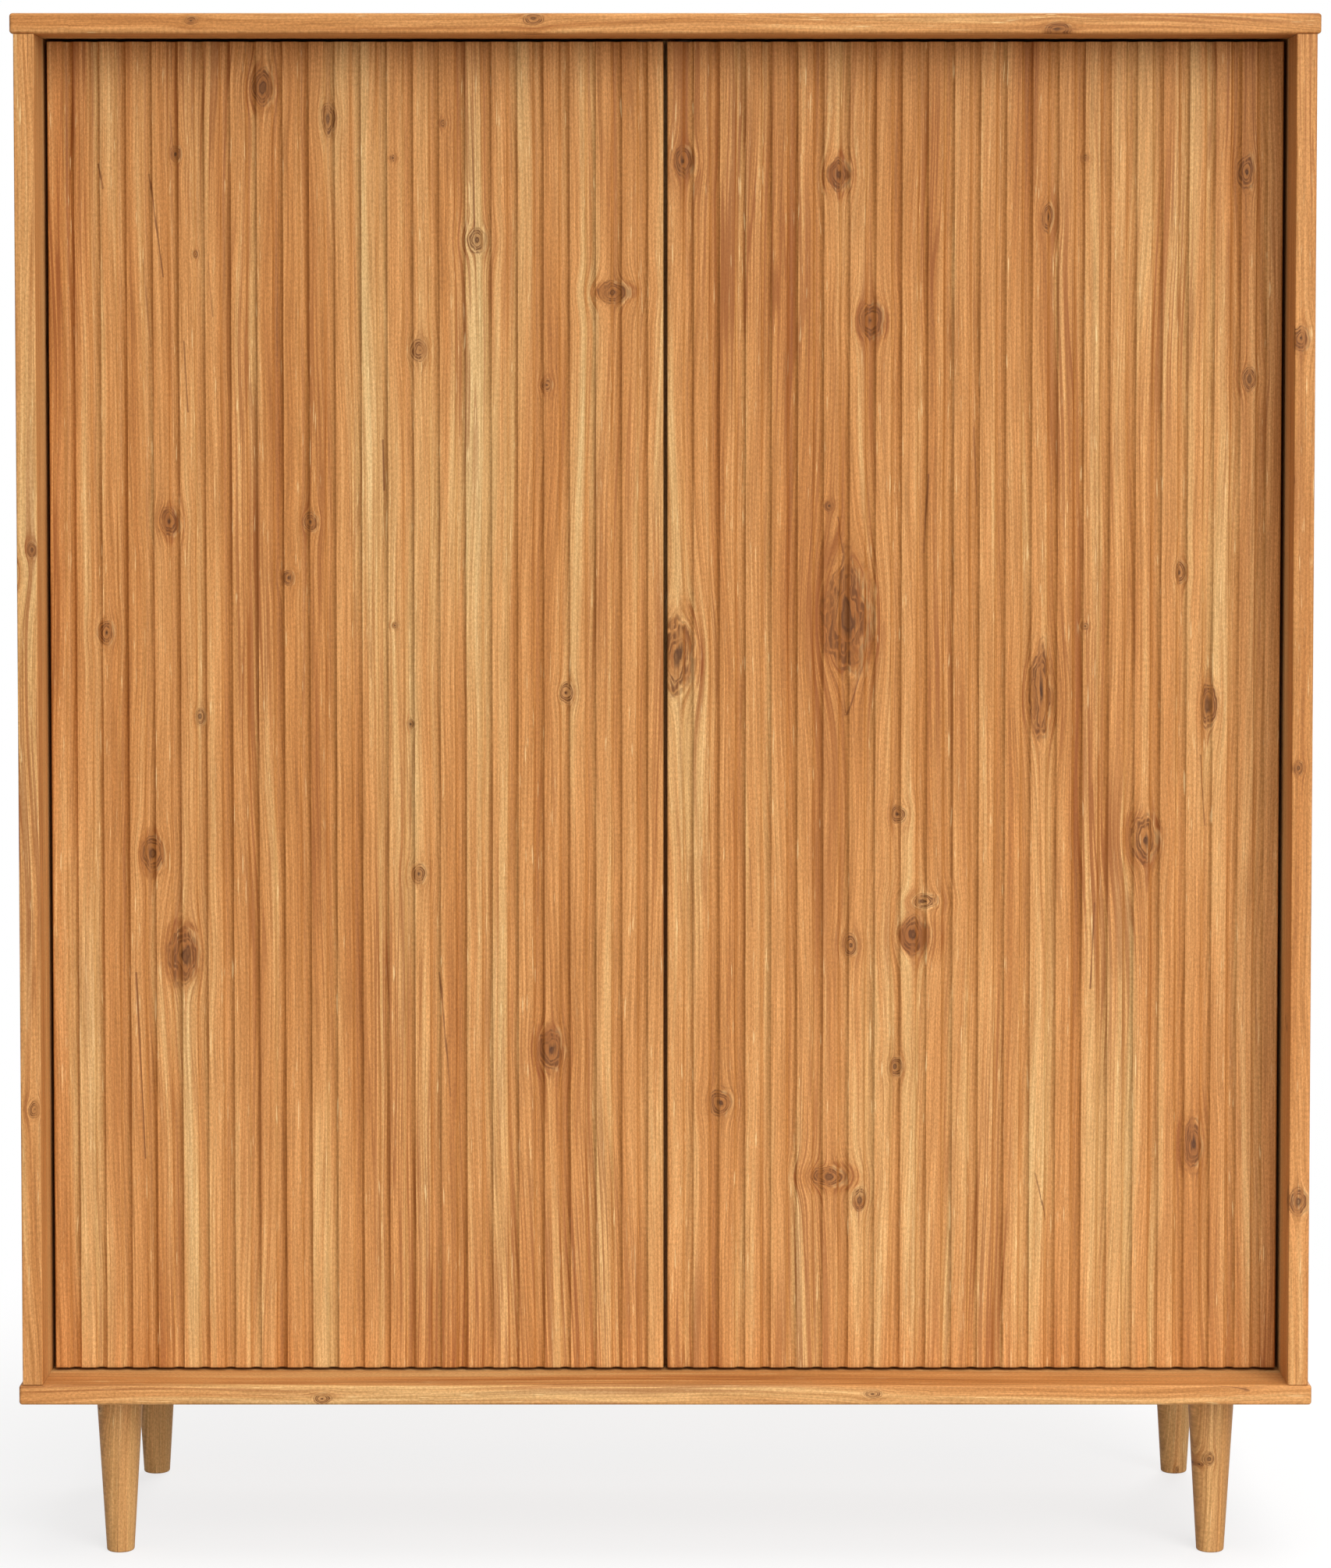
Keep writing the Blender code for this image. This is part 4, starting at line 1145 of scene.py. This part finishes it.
FLOOR_SIZE = 14
FLOOR_CELLS = 8
FLOOR_LIT = tint(160, 158, 156)
FLOOR_SEEN = tint(246, 246, 246)
FLOOR_FADE = (0.5, 1.2, 0.74, 1.0)
WHITE = (1, 1, 1, 1)
WORLD_STRENGTH = 0.20
# Name, place, aim, width and height, watts
LAMPS = [
    ("key", (2.7, -5.65, 3.5), (0, -0.1, 0.6), (4.8, 4.8), 418),
    ("top", (0.5, -1.6, 5.0), (0, -0.1, 1.0), (3.0, 3.0), 112),
    ("fill", (-2.8, -2.6, 1.8), (0, 0, 0.6), (2.2, 2.2), 8),
    ("low_fill", (0.15, -1.15, 0.07), (0, 0.1, 0.08), (1.9, 0.10), 5),
    ("rear", (1.0, 3.9, 2.3), (0, 0, 0.6), (2.8, 2.8), 150),
]


def light_rays(tree):
    """1 for a camera, glossy or transmission ray."""
    rays = tree.put("LightPath").node.outputs
    seen = tree.most(rays["Is Camera Ray"], rays["Is Glossy Ray"])
    return tree.most(seen, rays["Is Transmission Ray"])


def add_floor():
    tree = new_tree("studio_floor")
    seen = light_rays(tree)
    diffuse = tree.put("BsdfDiffuse", {0: tree.mix(seen, FLOOR_LIT, FLOOR_SEEN)})
    plain = tree.put("Emission", {0: WHITE, 1: 1.0})
    fade = tree.span(tree.vector("LENGTH", tree.place(), output=1), *FLOOR_FADE)
    mixed = tree.put("MixShader", {0: tree.times(fade, seen), 1: diffuse, 2: plain})
    tree.put("OutputMaterial", {0: mixed})
    shape = bmesh.new()
    bmesh.ops.create_grid(shape, x_segments=FLOOR_CELLS, y_segments=FLOOR_CELLS, size=FLOOR_SIZE)
    floor = new_object("floor", finish_mesh(shape, "floor"))
    floor.data.materials.append(tree.owner)


def add_area(name, place, aim, size, power):
    data = bpy.data.lights.new(name, "AREA")
    data.shape = "RECTANGLE"
    data.size, data.size_y = size
    data.energy = power
    lamp = new_object(name, data)
    lamp.location = place
    lamp.rotation_mode = "QUATERNION"
    lamp.rotation_quaternion = (Vector(aim) - Vector(place)).to_track_quat("-Z", "Y")
    lamp.visible_camera = False


def add_light():
    tree = Tree(bpy.data.worlds.new("studio"))
    bpy.context.scene.world = tree.owner
    around = tree.put("Background", {0: WHITE, 1: WORLD_STRENGTH})
    seen = tree.put("Background", {0: WHITE, 1: 1.0})
    mixed = tree.put("MixShader", {0: light_rays(tree), 1: around, 2: seen})
    tree.put("OutputWorld", {0: mixed})
    for lamp in LAMPS:
        add_area(*lamp)
    bpy.context.scene.view_settings.view_transform = "Standard"


# The object

# Knots that lie at random: cell, chance, radius, offset
REAR_KNOTS = ((0.13, 0.34), 0.4, 0.009, (0.03, 0.1))
BOARD_KNOTS = ((0.30, 0.11), 0.35, 0.008, (0.0, 0.0))
SIDE_KNOTS = ((0.11, 0.30), 0.35, 0.009, (0.0, 0.0))
FEW_LEG_KNOTS = ((0.03, 0.11), 0.15, 0.004, (0.0, 0.0))

# Places in the noise, and how much lighter or calmer a wood is
REAR_SEED = 4.4
SHELF_SEED = 5.3
SIDE_SEED = 7.1
LEG_SEED = 9.7
SIDE_LIGHTER = 0.025
LEG_LIGHTER = 0.10
LEG_CONTRAST = 0.45
# Name, knots on the front edge, seed, lighter
BOARDS = [
    ("top_panel", TOP_EDGE_KNOTS, 6.1, -0.03),
    ("bottom_panel", BOTTOM_EDGE_KNOTS, 8.3, 0.02),
]
# Side, what its door's wood shows, seed
DOORS = [
    ("left", LEFT_DOOR_KNOTS, LEFT_DOOR_CRACKS, LEFT_DOOR_ZONES, 0.37),
    ("right", RIGHT_DOOR_KNOTS, RIGHT_DOOR_CRACKS, RIGHT_DOOR_ZONES, 2.91),
]
LEVELS = ("bottom", "middle", "top")

add_camera()
add_floor()
add_light()

rear_wood = wood_material("door_rear_wood", "up", DOOR_SKEW, (), REAR_KNOTS, REAR_SEED)
for side, *seen in DOORS:
    door = f"{side}_door"
    woods = [*door_woods(door, *seen), rear_wood]
    mesh = door_mesh(door, [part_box(f"{side}_hinge_{level}_cup") for level in LEVELS])
    add_object(f"{door}_ribbed", mesh, woods, f"{door}_leaf", [door])

shelf_wood = wood_material("shelf_wood", "along", BOARD_SKEW, (), BOARD_KNOTS, SHELF_SEED)
for name, places, seed, lighter in BOARDS:
    low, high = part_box(name)
    knots = wood_knots(places, front_y, "along", BOARD_SKEW)
    wood = wood_material(
        f"{name}_wood", "along", BOARD_SKEW, knots, BOARD_KNOTS, seed, lighter=lighter
    )
    mesh = board_mesh(name, low, high, BOARD_ROUND)
    add_object(f"{name}_board", mesh, wood, "carcass", [name])
dress([f"{side}_shelf_{number}" for side in ("left", "right") for number in (1, 2)], shelf_wood)
knots = wood_knots(SIDE_EDGE_KNOTS, front_y, "side", BOARD_SKEW)
side_wood = wood_material(
    "side_wood", "side", BOARD_SKEW, knots, SIDE_KNOTS, SIDE_SEED, lighter=SIDE_LIGHTER
)
dress(["left_side_panel", "right_side_panel", "centre_divider"], side_wood)
low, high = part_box("front_right_leg")
leg_front = (low.y + high.y) / 2 - LEG_TOP_RADIUS * LEG_KNOT_FORWARD
knots = wood_knots(LEG_KNOTS, leg_front, "up", LEG_SKEW)
leg_wood = wood_material(
    "leg_wood", "up", LEG_SKEW, knots, FEW_LEG_KNOTS, LEG_SEED,
    lighter=LEG_LIGHTER, contrast=LEG_CONTRAST,
)
for name in [f"{end}_{side}_leg" for end in ("front", "back") for side in ("left", "right")]:
    low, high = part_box(name)
    mesh = turned_mesh(name, leg_profile(low.z, high.z), (low + high) / 2, LEG_SIDES)
    add_object(f"{name}_turned", mesh, leg_wood, "carcass", [name])

hinge_steel = metal_material("hinge_steel_plated", *HINGE_STEEL)
pin_steel = metal_material("pin_steel_plated", *PIN_STEEL)
bolt_steel = metal_material("bolt_steel_plated", *BOLT_STEEL)
latch_plastic = plastic_material("latch_plastic_moulded")
low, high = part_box("left_back_board")
back_board = back_board_material("back_board_fibre", (low.y + high.y) / 2)
hinge_parts = [f"hinge_{level}_{part}" for level in LEVELS for part in ("cup", "arm", "plate")]
for side, sign in (("left", -1), ("right", 1)):
    dress([f"{side}_{part}" for part in hinge_parts], hinge_steel)
    dress([f"{side}_latch_housing", f"{side}_latch_plunger"], latch_plastic)
    dress([f"{side}_back_board"], back_board)
    add_hinge_screws(side, sign, hinge_steel)
    add_strike(side, pin_steel)
dress([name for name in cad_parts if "_pin_" in name], pin_steel)
dress([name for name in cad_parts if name.endswith("_bolt")], bolt_steel)
